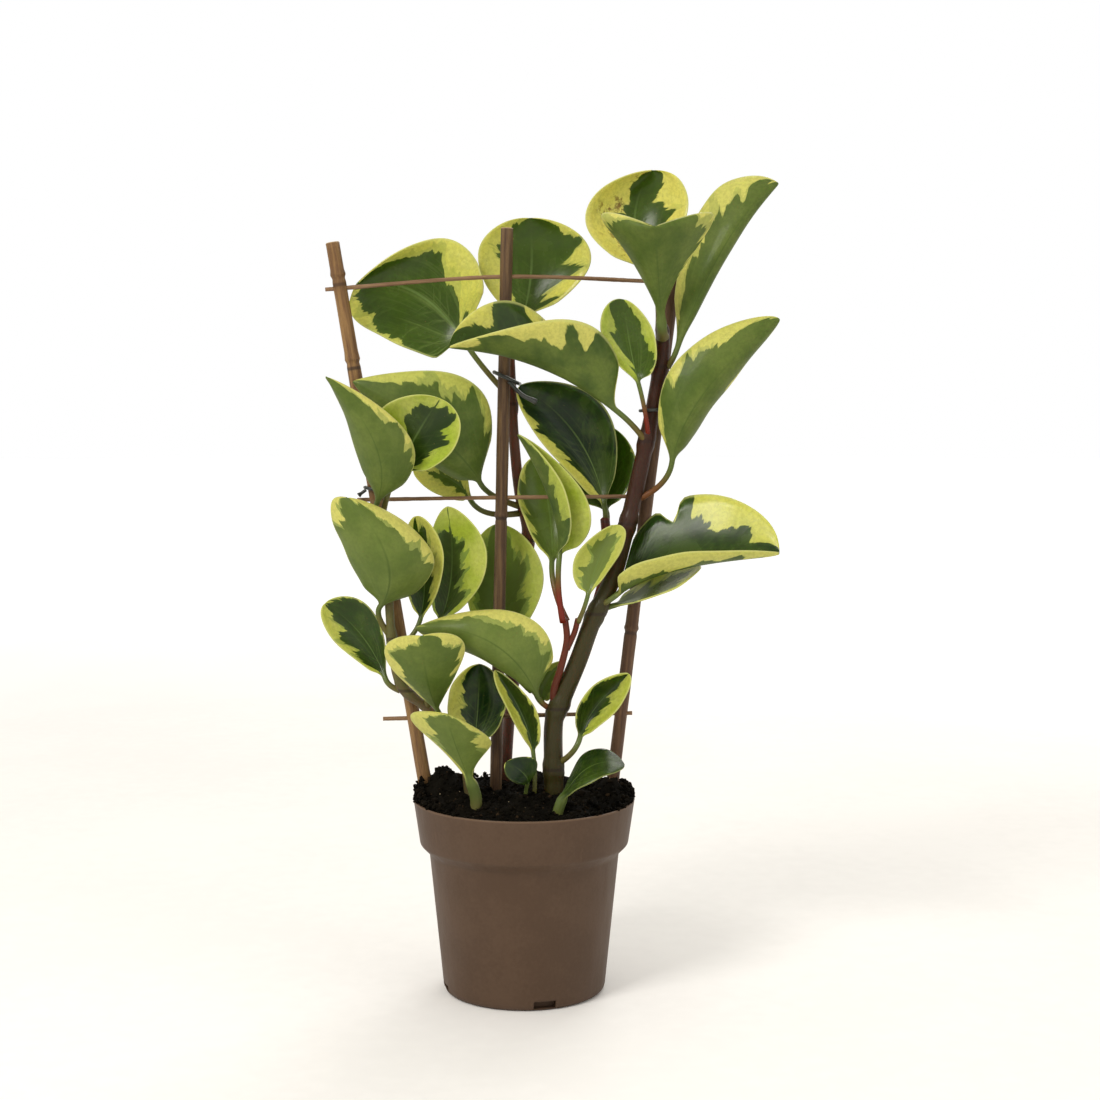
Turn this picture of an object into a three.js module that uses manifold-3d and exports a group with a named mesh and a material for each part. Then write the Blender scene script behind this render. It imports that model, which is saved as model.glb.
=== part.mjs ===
// A variegated baby rubber plant in a tapered nursery pot, tied to a small bamboo trellis.
// Millimetres, +Z up. The origin is the middle of the pot's foot, and the front is -Y.
// Points are [right, back, up].
import * as THREE from 'three';
import { mergeVertices } from 'three/addons/utils/BufferGeometryUtils.js';
import Module from 'manifold-3d';

const wasm = await Module();
wasm.setup();

// The clearance between neighbouring pieces, and the distance at which points are one
const GAP = 0.3;
const MERGE_DISTANCE = 1e-4;

// Pot: a tapered wall, a shoulder and a straight rim band, over a foot with a ring groove
const POT_HEIGHT = 105;
const RIM_RADIUS = 60;
const RIM_FOOT_RADIUS = 56.5;
const RIM_BAND = 24;
const SHOULDER_RADIUS = 51.5;
const SHOULDER_DROP = 5;
const SHOULDER_TOP = POT_HEIGHT - RIM_BAND;
const SHOULDER_FOOT = SHOULDER_TOP - SHOULDER_DROP;
const FOOT_RADIUS = 43.8;
const FOOT_ROUNDING = 4;
const FOOT_STEPS = 4;
const POT_WALL = 1.6;
const POT_FLOOR = 3.5;
const FLOOR_BEVEL = 2;
const RIM_BEVEL = 0.6;
const FLOOR_GROOVE = { inner: 14, outer: 32, depth: 1.8 };
const DRAIN_SLOT = { width: 12, depth: 9, height: 4, lift: 1.2, firstAngle: 15, count: 4 };
const POT_SEGMENTS = 40;

// Soil: a low crown with lumps, whose wavelengths run right and back, and three heaps
const SOIL_EDGE = 103;
const SOIL_CROWN = 4;
const SOIL_RINGS = 6;
const SOIL_LUMPS = [
  { rise: 0.7, lengths: [21, 30] },
  { rise: 0.6, lengths: [-26, 17] },
  { rise: 0.5, lengths: [9, -12] },
];
const SOIL_HEAPS = [
  { at: [-48, 8], rise: 17, spread: 16 },
  { at: [50, 5], rise: 12, spread: 15 },
  { at: [5, 42], rise: 4.5, spread: 24 },
  { at: [4, -14], rise: 3, spread: 16 },
];

// Trellis: three canes in one upright plane, and three thin bars that pierce them. Their
// points are [right, up] in that plane.
const TRELLIS_BACK = 10;
const TRELLIS_TURN = 0.05;
const CANE_SIDES = 10;
const CANE_JOINT = { rise: 0.45, ring: 0.8, slope: 3 };
const CANES = {
  left: { foot: [-49.8, 83], top: [-102, 404], radius: 3.7, joints: [342, 387] },
  middle: { foot: [-17, 52], top: [-9, 412], radius: 3.3, joints: [258, 356] },
  right: { foot: [42, 56], top: [81, 388], radius: 3.5, joints: [196, 322] },
};
const BAR_RADIUS = 1.1;
const BAR_SIDES = 8;
const BAR_STEPS = 8;
const BARS = {
  top: [[-106, 379], [-14, 386], [65, 384], [90, 383]],
  middle: [[-90, 266.5], [-14, 267.5], [68, 268]],
  bottom: [[-77, 147], [-10, 148], [59, 149]],
};

// Ties: a stadium-shaped loop around what each one holds, and a loose tail
const TIE_WIRE = 0.9;
const TIE_SIDES = 6;
const TIE_STEPS = 18;
const TIE_END = { from: 0.6, rise: 0.55 };
const TIES = {
  left: {
    at: [-80.7, 6, 272.5], reach: [0, 0], radius: 5.2, tilt: 8,
    tail: [[-85, 3, 272], [-89, 2, 269]],
  },
  middle: {
    at: [-9.3, 16.2, 332], reach: [1, 12], radius: 6.9, tilt: 25, wire: 1.1,
    tail: [[-8, 4, 330], [-1, 2, 323], [7, 1, 319]],
  },
  right: {
    at: [70.5, 8.4, 315], reach: [4, 10], radius: 6.2, tilt: -4,
    tail: [[77, 6, 314], [82, 6, 311], [87, 6, 309], [92, 5, 310]],
  },
};

// Stems: a path of points, its radius at the foot and at the top, and its swollen joints
const STEM_SIDES = 10;
const STEM_STEP = 11;
const STEM_LEAST_STEPS = 5;
const STEM_JOINT = { rise: 0.8, flat: 2, fade: 7 };
const STEMS = {
  right: {
    path: [[15, -6, 60], [16, -6, 110], [16, -6, 146], [20, -6, 159], [29, -5, 180], [37, -4, 202],
      [48, -2, 226], [55, 0, 251], [60, 2, 272], [66, 3, 299], [70, 3, 320], [74, 3, 346], [74, 3, 361]],
    radius: [5.6, 3.8],
    joints: [122, 155, 206, 254, 298, 338],
    shoots: [
      {
        path: [[17, -6, 153], [16, -8, 164], [20, -10, 178], [23, -9, 192], [22, -8, 204]],
        radius: [2.1, 1.7],
      },
      { path: [[23, -9, 187], [27, -9, 196], [29, -10, 204]], radius: [1.6, 1.5] },
      { path: [[38, -3, 206], [44, 4, 228], [45, 12, 242], [44, 19, 256]], radius: [3, 2.6] },
    ],
  },
  middle: {
    path: [[-12, 30, 60], [-11, 30, 111], [-7, 30, 165], [-2, 31, 209], [2, 28, 243], [-3, 24, 271],
      [-6, 23, 304], [-8, 23, 345]],
    radius: [3.6, 2.7],
    joints: [165, 243, 318],
  },
  left: {
    path: [[-26, -9, 60], [-30, -6, 112], [-33, -5, 132], [-42, -5, 146], [-55, -2, 156], [-67, -2, 168],
      [-71, -2, 190], [-73, -2, 217], [-75, -2, 238], [-76, -2, 256]],
    radius: [3, 2.2],
    joints: [138, 164, 192, 236],
  },
};

// Leaves. The stalk runs from the root to the base of the blade. The blade's midrib is a
// parabola through base, middle and tip, and left and right are the blade's widest points,
// named as the upper face shows them with the tip up. widest is how far along they lie.
const LEAVES = {
  top_back: {
    root: [72, 4, 357], base: [67, 5, 388], middle: [60, 20, 421], tip: [69, 15, 443],
    left: [33, 4, 419], right: [87, 4, 421], widest: 0.55, blunt: 0.5,
  },
  top_front: {
    root: [74, 0, 354], base: [73, -7, 360], middle: [68, -36, 402], tip: [67, -42, 408],
    left: [99, -22, 415], right: [41, -22, 415], widest: 0.75, blunt: 0.6, stalk: 2.8,
  },
  top_right: {
    root: [77, 2, 338], base: [81, -3, 346], middle: [107, -8, 403], tip: [135, 4, 435],
    left: [112, 8, 405], right: [94, 8, 421], blunt: 0.62, widest: 0.5,
  },
  top_left: {
    root: [-8, 23, 322], base: [-32, 22, 351], middle: [-62, 30, 380], tip: [-92, 24, 382],
    left: [-74, 19, 353], right: [-36, 19, 405], widest: 0.52, blunt: 0.38,
  },
  top_middle: {
    root: [-8, 23, 342], base: [-1, 25, 364], middle: [4, 34, 396], tip: [3, 29, 419],
    left: [-25, 26, 398], right: [36, 22, 397], blunt: 0.52,
  },
  cup_middle: {
    root: [66, 1, 297], base: [50, -5, 314], middle: [8, -14, 338], tip: [-39, -14, 348],
    left: [27, -28, 361], right: [6, 3, 367], widest: 0.5, blunt: 0.56, roll: -75,
  },
  upright_small: {
    root: [67, 2, 299], base: [61, -5, 329], middle: [56, -3, 352], tip: [53, -8, 373],
    left: [41, -10, 357], right: [70, -10, 350], widest: 0.55, blunt: 0.55, stalk: 1.2,
  },
  right_upper: {
    root: [59, 2, 266], base: [79, -5, 287], middle: [95, -14, 324], tip: [135, -8, 363],
    left: [104, -1, 321], right: [80, -7, 339], widest: 0.5,
  },
  right_curled: {
    root: [40, -3, 210], base: [49, -9, 216], middle: [82, -13, 233], tip: [135, -20, 240],
    left: [84, 7, 267], right: [72, -33, 239], widest: 0.47, roll: 15, blunt: 0.42,
  },
  right_under: {
    root: [38, -3, 205], base: [48, -3, 210], middle: [70, -10, 219], tip: [94, -10, 232],
    left: [70, 4, 225], right: [76, -24, 220], widest: 0.5,
  },
  shaded_large: {
    root: [44, 19, 252], base: [44, 18, 261], middle: [25, 24, 305], tip: [-2, 14, 328],
    left: [10, 14, 297], right: [43, 18, 317],
  },
  shaded_back: {
    root: [44, 20, 250], base: [45, 24, 259], middle: [41, 36, 285], tip: [42, 38, 307],
    left: [19, 28, 282], right: [61, 28, 286],
  },
  narrow_back: {
    root: [23, -6, 202], base: [15, 7, 232], middle: [13, 24, 263], tip: [7, 22, 289],
    left: [-3, 16, 266], right: [31, 16, 265],
  },
  folded: {
    root: [21, -10, 202], base: [19, -9, 237], middle: [13, -5, 271], tip: [-3, -10, 302],
    left: [22, -17, 272], right: [34, -9, 266],
  },
  small_front: {
    root: [29, -10, 202], base: [34, -12, 216], middle: [41, -10, 239], tip: [47, -14, 254],
    left: [27, -16, 236], right: [53, -16, 244], stalk: 1.2,
  },
  left_wide: {
    root: [-3, 24, 262], base: [-24, 16, 275], middle: [-44, -4, 300], tip: [-91, -1, 330],
    left: [-26, 6, 328], right: [-56, 8, 290], widest: 0.45, blunt: 0.85,
  },
  left_round: {
    root: [-76, -2, 254], base: [-68, -7, 281], middle: [-56, -8, 303], tip: [-44, -14, 321],
    left: [-77, -15, 312], right: [-36, -16, 296], widest: 0.5, blunt: 0.5,
  },
  left_pointed: {
    root: [-75, -2, 246], base: [-78, -8, 266], middle: [-76, -24, 294], tip: [-102, -28, 332],
    left: [-58, -18, 296], right: [-92, -18, 307], widest: 0.45, blunt: 0.75,
  },
  left_khaki: {
    root: [-3, 25, 258], base: [-30, 24, 266], middle: [-44, 28, 278], tip: [-61, 24, 282],
    left: [-46, 22, 268], right: [-41, 26, 292],
  },
  left_middle: {
    root: [-71, -2, 192], base: [-77, -6, 210], middle: [-73, -25, 242], tip: [-92, -22, 269],
    left: [-49, -14, 240], right: [-98, -13, 248], blunt: 0.5,
  },
  left_edge: {
    root: [-70, -2, 186], base: [-56, 0, 202], middle: [-54, 2, 230], tip: [-58, -2, 258],
    left: [-65, 0, 230], right: [-43, -9, 237], stalk: 1.3,
  },
  left_inner: {
    root: [-52, -3, 154], base: [-46, 4, 199], middle: [-39, 8, 233], tip: [-41, 2, 263],
    left: [-52, 6, 233], right: [-20, 0, 234],
  },
  behind_cane: {
    root: [-7, 30, 166], base: [-13, 23, 185], middle: [-11, 26, 222], tip: [-16, 24, 252],
    left: [-32, 19, 216], right: [10, 19, 225], blunt: 0.5,
  },
  left_low: {
    root: [-67, -2, 164], base: [-75, 0, 170], middle: [-91, 6, 196], tip: [-107, 0, 211],
    left: [-102, -3, 191], right: [-83, 2, 208],
  },
  fan_left: {
    root: [-42, -5, 146], base: [-46, -11, 154], middle: [-52, -32, 185], tip: [-53, -37, 198],
    left: [-31, -27, 191], right: [-73, -25, 187], widest: 0.75, blunt: 0.5,
  },
  fan_wide: {
    root: [18, -6, 153], base: [7, -9, 162], middle: [-16, -22, 192], tip: [-57, -11, 199],
    left: [4, -14, 204], right: [-14, -13, 178], widest: 0.48, blunt: 0.5,
  },
  low_round: {
    root: [-31, 0, 92], base: [-27, -2, 134], middle: [-25, 3, 157], tip: [-24, -1, 178],
    left: [-41, -5, 158], right: [-10, -4, 156], widest: 0.55, blunt: 0.5, inSoil: true,
  },
  low_fan: {
    root: [-28, -30, 92], base: [-27, -27, 117], middle: [-38, -40, 151], tip: [-39, -44, 158],
    left: [-17, -30, 141], right: [-59, -30, 154], widest: 0.74, blunt: 0.58, stalk: 3.2, inSoil: true,
  },
  low_narrow: {
    root: [3, -10, 92], base: [5, -9, 131], middle: [-3, -8, 156], tip: [-15, -10, 176],
    left: [-10, -14, 158], right: [6, -16, 156], stalk: 1.2, inSoil: true,
  },
  behind_stem: {
    root: [17, -4, 152], base: [10, 4, 157], middle: [12, 6, 167], tip: [20, 2, 179],
    left: [4, 2, 169], right: [18, 0, 164], stalk: 1,
  },
  low_right: {
    root: [17, -6, 124], base: [30, -9, 139], middle: [41, -4, 158], tip: [56, -9, 174],
    left: [33, -14, 164], right: [50, -14, 156],
  },
  front_right: {
    root: [19, -40, 90], base: [20, -38, 111], middle: [37, -38, 130], tip: [53, -32, 129],
    left: [36, -26, 136], right: [39, -48, 125], stalk: 2.8, inSoil: true,
  },
  low_dark: {
    root: [2, -18, 92], base: [2, -18, 116], middle: [-1, -21, 123], tip: [-9, -23, 129],
    left: [-7, -26, 120], right: [6, -18, 129], stalk: 1.1, inSoil: true,
  },
};

// The blade's usual shape: how far along it is widest, how blunt its ends are, the radius
// of its stalk, and how many degrees it twists from base to tip.
const USUAL_LEAF = { widest: 0.58, blunt: 0.6, stalk: 1.5, roll: 0 };
const STALK_STEPS = 3;
const STALK_END = 0.98;
const BLADE_STEPS = 9;
const BLADE_THICKNESS = 1.1;
const BLADE_OPENS = 0.15;
const BLADE_END = 0.998;
const LEAF_RING_POINTS = 10;
const NUDGE = 0.01;

const MATERIALS = {
  pot: new THREE.MeshStandardMaterial({ color: 0x6a5443, roughness: 0.6, metalness: 0 }),
  soil: new THREE.MeshStandardMaterial({ color: 0x1f1a14, roughness: 1, metalness: 0 }),
  cane: new THREE.MeshStandardMaterial({ color: 0x9a6b3c, roughness: 0.6, metalness: 0 }),
  bar: new THREE.MeshStandardMaterial({ color: 0xa57b5e, roughness: 0.7, metalness: 0 }),
  tie: new THREE.MeshStandardMaterial({ color: 0x141613, roughness: 0.35, metalness: 0 }),
  stem: new THREE.MeshStandardMaterial({ color: 0x4a2c22, roughness: 0.5, metalness: 0 }),
  leaf: new THREE.MeshStandardMaterial({ color: 0x5f7f3a, roughness: 0.4, metalness: 0 }),
};

const vector = (point) => new THREE.Vector3(...point);
const inTrellis = ([right, up]) => new THREE.Vector3(right, TRELLIS_BACK + TRELLIS_TURN * right, up);
const smooth = (from, to, value) => THREE.MathUtils.smoothstep(value, from, to);
const lowered = ([right, back, up]) => [right, back, up - GAP];

// A closed solid through rings of equal count. Quads on the upper and the lower half of a
// ring are split along the same diagonal, so a thin blade keeps its thickness.
function loft(rings) {
  const count = rings[0].length;
  const half = count / 2;
  const faces = [];
  const quad = (a, b, c, d) => faces.push(a, b, c, a, c, d);
  for (let i = 0; i + 1 < rings.length; i++) {
    for (let j = 0; j < count; j++) {
      const next = (j + 1) % count;
      const [a, b] = [i * count + j, i * count + next];
      const [c, d] = [b + count, a + count];
      if (j < half) quad(a, b, c, d);
      else quad(b, c, d, a);
    }
  }
  const last = (rings.length - 1) * count;
  for (let k = 0; k < half - 1; k++) {
    const [a, b, c, d] = [k, k + 1, count - 2 - k, count - 1 - k];
    quad(d, c, b, a);
    quad(last + a, last + b, last + c, last + d);
  }
  const geometry = new THREE.BufferGeometry();
  const positions = rings.flat().flatMap((point) => point.toArray());
  geometry.setAttribute('position', new THREE.Float32BufferAttribute(positions, 3));
  geometry.setIndex(faces);
  return geometry;
}

function roundRing(centre, side, normal, radius, count) {
  return Array.from({ length: count }, (_, j) => {
    const angle = Math.PI * (1 - (2 * j + 1) / count);
    return centre.clone()
      .addScaledVector(side, radius * Math.cos(angle))
      .addScaledVector(normal, radius * Math.sin(angle));
  });
}

// A round rod along a curve, whose radius is a function of the way along it and of height.
function rod(curve, steps, sides, radiusAt) {
  const { normals, binormals } = curve.computeFrenetFrames(steps);
  const rings = normals.map((normal, i) => {
    const centre = curve.getPointAt(i / steps);
    const up = binormals[i].clone().negate();
    return roundRing(centre, normal, up, radiusAt(i / steps, centre.z), sides);
  });
  return loft(rings);
}

function toSolid(geometry) {
  const plain = new THREE.BufferGeometry();
  plain.setAttribute('position', geometry.getAttribute('position'));
  plain.setIndex(geometry.getIndex());
  const merged = mergeVertices(plain, MERGE_DISTANCE);
  return new wasm.Manifold(new wasm.Mesh({
    numProp: 3,
    vertProperties: new Float32Array(merged.getAttribute('position').array),
    triVerts: new Uint32Array(merged.getIndex().array),
  }));
}

// The largest body of a solid, as flat-shaded geometry.
function toGeometry(solid) {
  const bodies = solid.decompose();
  const largest = bodies.reduce((best, body) => (body.volume() > best.volume() ? body : best));
  const mesh = largest.getMesh();
  const geometry = new THREE.BufferGeometry();
  geometry.setAttribute('position', new THREE.BufferAttribute(mesh.vertProperties, 3));
  geometry.setIndex(new THREE.BufferAttribute(mesh.triVerts, 1));
  const flat = geometry.toNonIndexed();
  flat.computeVertexNormals();
  return flat;
}

function named(name, geometry, material) {
  const mesh = new THREE.Mesh(geometry, material);
  mesh.name = name;
  return mesh;
}

// The pot's outer wall, from the foot up: a straight taper, a shoulder and the rim band.
function outerRadius(height) {
  const { mapLinear } = THREE.MathUtils;
  if (height > SHOULDER_TOP) {
    return mapLinear(height, SHOULDER_TOP, POT_HEIGHT, RIM_FOOT_RADIUS, RIM_RADIUS);
  }
  if (height > SHOULDER_FOOT) {
    return mapLinear(height, SHOULDER_FOOT, SHOULDER_TOP, SHOULDER_RADIUS, RIM_FOOT_RADIUS);
  }
  return mapLinear(height, 0, SHOULDER_FOOT, FOOT_RADIUS, SHOULDER_RADIUS);
}

// The corners of the pot's cavity, from the edge of its floor to the rim band. What fills
// the cavity keeps a clearance from it.
function cavity(clearance = 0) {
  const corner = (height, inward = 0) => {
    return [outerRadius(height) - POT_WALL - clearance - inward, height + clearance];
  };
  return [
    corner(POT_FLOOR, FLOOR_BEVEL), corner(POT_FLOOR + FLOOR_BEVEL),
    corner(SHOULDER_FOOT), corner(SHOULDER_TOP),
  ];
}

function potProfile() {
  const { inner, outer, depth } = FLOOR_GROOVE;
  const footCentre = outerRadius(FOOT_ROUNDING) - FOOT_ROUNDING;
  const foot = Array.from({ length: FOOT_STEPS + 1 }, (_, i) => {
    const angle = (Math.PI / 2) * (i / FOOT_STEPS);
    return [footCentre + FOOT_ROUNDING * Math.sin(angle), FOOT_ROUNDING * (1 - Math.cos(angle))];
  });
  const lip = RIM_RADIUS - POT_WALL;
  return [
    [0, 0], [inner, 0], [inner + depth, depth], [outer - depth, depth], [outer, 0],
    ...foot,
    [SHOULDER_RADIUS, SHOULDER_FOOT], [RIM_FOOT_RADIUS, SHOULDER_TOP],
    [RIM_RADIUS, POT_HEIGHT - RIM_BEVEL], [RIM_RADIUS - RIM_BEVEL, POT_HEIGHT],
    [lip + RIM_BEVEL, POT_HEIGHT], [lip, POT_HEIGHT - RIM_BEVEL],
    ...cavity().reverse(),
    [0, POT_FLOOR],
  ];
}

// A lathe turns about Y, so its profile is stood up along Z afterwards.
function turned(profile) {
  const corners = profile.map(([radius, height]) => new THREE.Vector2(radius, height));
  return new THREE.LatheGeometry(corners, POT_SEGMENTS).rotateX(Math.PI / 2);
}

function makePot() {
  let pot = toSolid(turned(potProfile()));
  const { width, depth, height, lift, firstAngle, count } = DRAIN_SLOT;
  for (let i = 0; i < count; i++) {
    const slot = new THREE.BoxGeometry(width, depth, height);
    slot.translate(0, -FOOT_RADIUS, lift + height / 2);
    slot.rotateZ(THREE.MathUtils.degToRad(firstAngle + (360 / count) * i));
    pot = pot.subtract(toSolid(slot));
  }
  return named('pot', toGeometry(pot), MATERIALS.pot);
}

// Lumps and heaps fade out towards the rim, so the soil meets the pot in a nearly level edge.
function soilTop(right, back) {
  const distance = Math.hypot(right, back) / RIM_RADIUS;
  let height = SOIL_CROWN * (1 - distance ** 2);
  for (const { rise, lengths } of SOIL_LUMPS) {
    height += rise * Math.sin(2 * Math.PI * (right / lengths[0] + back / lengths[1]));
  }
  for (const { at, rise, spread } of SOIL_HEAPS) {
    const away = Math.hypot(right - at[0], back - at[1]) / spread;
    height += rise * Math.exp(-(away ** 2));
  }
  return SOIL_EDGE + (1 - distance ** 8) * Math.max(height, 0);
}

function makeSoil(standing) {
  const edge = outerRadius(SOIL_EDGE) - POT_WALL - GAP;
  const profile = [[0, POT_FLOOR + GAP], ...cavity(GAP)];
  for (let i = 0; i <= SOIL_RINGS; i++) profile.push([edge * (1 - i / SOIL_RINGS), SOIL_EDGE]);
  const geometry = turned(profile);
  const position = geometry.getAttribute('position');
  for (let i = 0; i < position.count; i++) {
    const inTop = position.getZ(i) > (SHOULDER_TOP + SOIL_EDGE) / 2;
    if (inTop) position.setZ(i, soilTop(position.getX(i), position.getY(i)));
  }
  const soil = standing.reduce((body, solid) => body.subtract(solid), toSolid(geometry));
  return named('soil', toGeometry(soil), MATERIALS.soil);
}

// A cane thickens in a short ring at each of its joints.
function caneGeometry({ foot, top, radius, joints }) {
  const sections = [{ height: foot[1], width: radius }, { height: top[1], width: radius }];
  for (const joint of joints) {
    for (const sign of [-1, 1]) {
      sections.push({ height: joint + sign * CANE_JOINT.ring, width: radius + CANE_JOINT.rise });
      sections.push({ height: joint + sign * CANE_JOINT.slope, width: radius });
    }
  }
  sections.sort((a, b) => a.height - b.height);
  const [start, end] = [inTrellis(foot), inTrellis(top)];
  const normal = new THREE.Vector3(0, -1, 0);
  const side = end.clone().sub(start).normalize().cross(normal);
  const rings = sections.map(({ height, width }) => {
    const centre = start.clone().lerp(end, (height - foot[1]) / (top[1] - foot[1]));
    return roundRing(centre, side, normal, width, CANE_SIDES);
  });
  return loft(rings);
}

function barGeometry(points, radius) {
  return rod(new THREE.CatmullRomCurve3(points.map(inTrellis)), BAR_STEPS, BAR_SIDES, () => radius);
}

function makeTrellis() {
  const bores = Object.values(BARS).map((points) => toSolid(barGeometry(points, BAR_RADIUS + GAP)));
  const group = new THREE.Group();
  for (const [place, cane] of Object.entries(CANES)) {
    const solid = bores.reduce((body, bore) => body.subtract(bore), toSolid(caneGeometry(cane)));
    group.add(named(`cane_${place}`, toGeometry(solid), MATERIALS.cane));
  }
  for (const [place, points] of Object.entries(BARS)) {
    const solid = toSolid(barGeometry(points, BAR_RADIUS));
    group.add(named(`bar_${place}`, toGeometry(solid), MATERIALS.bar));
  }
  return group;
}

// A loop of wire stretched from a circle into a stadium along its reach, plus a tail that
// thickens towards its end.
function makeTie(place, { at, reach, radius, tilt, tail, wire = TIE_WIRE }) {
  const ring = new THREE.TorusGeometry(radius, wire, TIE_SIDES, TIE_STEPS);
  const position = ring.getAttribute('position');
  const [right, back] = reach;
  for (let i = 0; i < position.count; i++) {
    const [x, y] = [position.getX(i), position.getY(i)];
    const half = x * right + y * back > 0 ? 0.5 : -0.5;
    position.setXY(i, x + half * right, y + half * back);
  }
  ring.rotateY(THREE.MathUtils.degToRad(tilt)).translate(...at);
  const curve = new THREE.CatmullRomCurve3(tail.map(vector));
  const { from, rise } = TIE_END;
  const end = rod(curve, TIE_SIDES, TIE_SIDES, (t) => wire + rise * smooth(from, 1, t));
  return named(`tie_${place}`, toGeometry(toSolid(ring).add(toSolid(end))), MATERIALS.tie);
}

// A stem tapers from its foot to its top and swells a little at its joints. The extra
// width makes the clearance that its neighbours keep.
function stemSolid({ path, radius, joints = [], shoots = [] }, extra = 0) {
  const curve = new THREE.CatmullRomCurve3(path.map(vector));
  const steps = Math.max(STEM_LEAST_STEPS, Math.round(curve.getLength() / STEM_STEP));
  const [foot, top] = radius;
  const { rise, flat, fade } = STEM_JOINT;
  const geometry = rod(curve, steps, STEM_SIDES, (t, height) => {
    const near = Math.min(...joints.map((joint) => Math.abs(height - joint)));
    return foot + (top - foot) * t + rise * (1 - smooth(flat, fade, near)) + extra;
  });
  return shoots.reduce((solid, shoot) => solid.add(stemSolid(shoot, extra)), toSolid(geometry));
}

function parabola(base, middle, tip, at, u) {
  const point = new THREE.Vector3();
  point.addScaledVector(base, ((u - at) * (u - 1)) / at);
  point.addScaledVector(middle, (u * (u - 1)) / (at * (at - 1)));
  point.addScaledVector(tip, (u * (u - at)) / (1 - at));
  return point;
}

// The blade at any place u along its midrib: its half width is sin(pi u^p)^blunt, where p
// puts the widest place where the leaf has it, and across, it is a parabola through both
// edges and the midrib.
function bladeOf(leaf) {
  const { widest, blunt, roll } = { ...USUAL_LEAF, ...leaf };
  const [base, middle, tip] = [leaf.base, leaf.middle, leaf.tip].map(vector);
  const [toLeft, toRight] = [leaf.left, leaf.right].map((edge) => vector(edge).sub(middle));
  const length = tip.clone().sub(base).normalize();
  const power = Math.log(0.5) / Math.log(widest);
  const midrib = (u) => parabola(base, middle, tip, widest, u);
  return (u) => {
    const turn = THREE.MathUtils.degToRad(roll * (u - widest));
    return {
      centre: midrib(u),
      along: midrib(u + NUDGE).sub(midrib(u - NUDGE)).normalize(),
      wide: toRight.clone().sub(toLeft).multiplyScalar(0.5).applyAxisAngle(length, turn),
      deep: toRight.clone().add(toLeft).multiplyScalar(0.5).applyAxisAngle(length, turn),
      width: Math.sin(Math.PI * u ** power) ** blunt,
    };
  };
}

// The upper face of the blade from left to right, then the lower one back again.
function bladeRing({ centre, along, wide, deep, width }, thickness) {
  const half = LEAF_RING_POINTS / 2;
  return Array.from({ length: LEAF_RING_POINTS }, (_, j) => {
    const upper = j < half;
    const v = ((upper ? j : LEAF_RING_POINTS - 1 - j) / (half - 1)) * 2 - 1;
    const normal = wide.clone().addScaledVector(deep, 2 * v).cross(along).normalize();
    return centre.clone()
      .addScaledVector(wide, v * width)
      .addScaledVector(deep, v * v * width)
      .addScaledVector(normal, (upper ? 0.5 : -0.5) * thickness);
  });
}

// The stalk bends from its root into the direction in which the blade starts.
function stalkRings(root, base, { along, wide }, radius) {
  const bend = base.clone().addScaledVector(along, -root.distanceTo(base) / 2);
  const curve = new THREE.QuadraticBezierCurve3(root, bend, base);
  const side = wide.clone();
  const rings = [];
  for (let i = STALK_STEPS; i >= 0; i--) {
    const t = (STALK_END * i) / STALK_STEPS;
    const tangent = curve.getTangent(t);
    side.addScaledVector(tangent, -side.dot(tangent)).normalize();
    const normal = side.clone().cross(tangent);
    rings.unshift(roundRing(curve.getPoint(t), side, normal, radius, LEAF_RING_POINTS));
  }
  return rings;
}

function leafGeometry(leaf, extra = 0) {
  const radius = (leaf.stalk ?? USUAL_LEAF.stalk) + extra;
  const bladeAt = bladeOf(leaf);
  const rings = stalkRings(vector(leaf.root), vector(leaf.base), bladeAt(NUDGE), radius);
  for (let i = 1; i <= BLADE_STEPS; i++) {
    const u = Math.min((1 - Math.cos((Math.PI * i) / BLADE_STEPS)) / 2, BLADE_END);
    const place = bladeAt(u);
    const { centre, along, wide } = place;
    const side = wide.clone().addScaledVector(along, -wide.dot(along)).normalize();
    const round = roundRing(centre, side, side.clone().cross(along), radius, LEAF_RING_POINTS);
    const blade = bladeRing(place, BLADE_THICKNESS + 2 * extra);
    rings.push(round.map((onStalk, j) => onStalk.lerp(blade[j], smooth(0, BLADE_OPENS, u))));
  }
  return loft(rings);
}

function makePlant() {
  const group = new THREE.Group();
  for (const [place, stem] of Object.entries(STEMS)) {
    group.add(named(`stem_${place}`, toGeometry(stemSolid(stem)), MATERIALS.stem));
  }
  const clearances = Object.values(STEMS).map((stem) => stemSolid(stem, GAP));
  for (const [place, leaf] of Object.entries(LEAVES)) {
    const solid = clearances.reduce((body, stem) => body.subtract(stem), toSolid(leafGeometry(leaf)));
    group.add(named(`leaf_${place}`, toGeometry(solid), MATERIALS.leaf));
  }
  return group;
}

// Everything that stands in the soil, thicker and deeper than it is by the clearance.
function standingInSoil() {
  const canes = Object.values(CANES).map((cane) => {
    const foot = [cane.foot[0], cane.foot[1] - GAP];
    return toSolid(caneGeometry({ ...cane, foot, radius: cane.radius + GAP }));
  });
  const stems = Object.values(STEMS).map((stem) => {
    const [foot, ...rest] = stem.path;
    return stemSolid({ ...stem, path: [lowered(foot), ...rest] }, GAP);
  });
  const stalks = Object.values(LEAVES).filter((leaf) => leaf.inSoil).map((leaf) => {
    return toSolid(leafGeometry({ ...leaf, root: lowered(leaf.root) }, GAP));
  });
  return [...canes, ...stems, ...stalks];
}

const plant = new THREE.Group();
plant.add(makePot(), makeSoil(standingInSoil()), makeTrellis());
for (const [place, tie] of Object.entries(TIES)) plant.add(makeTie(place, tie));
plant.add(makePlant());

export default plant;
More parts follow.
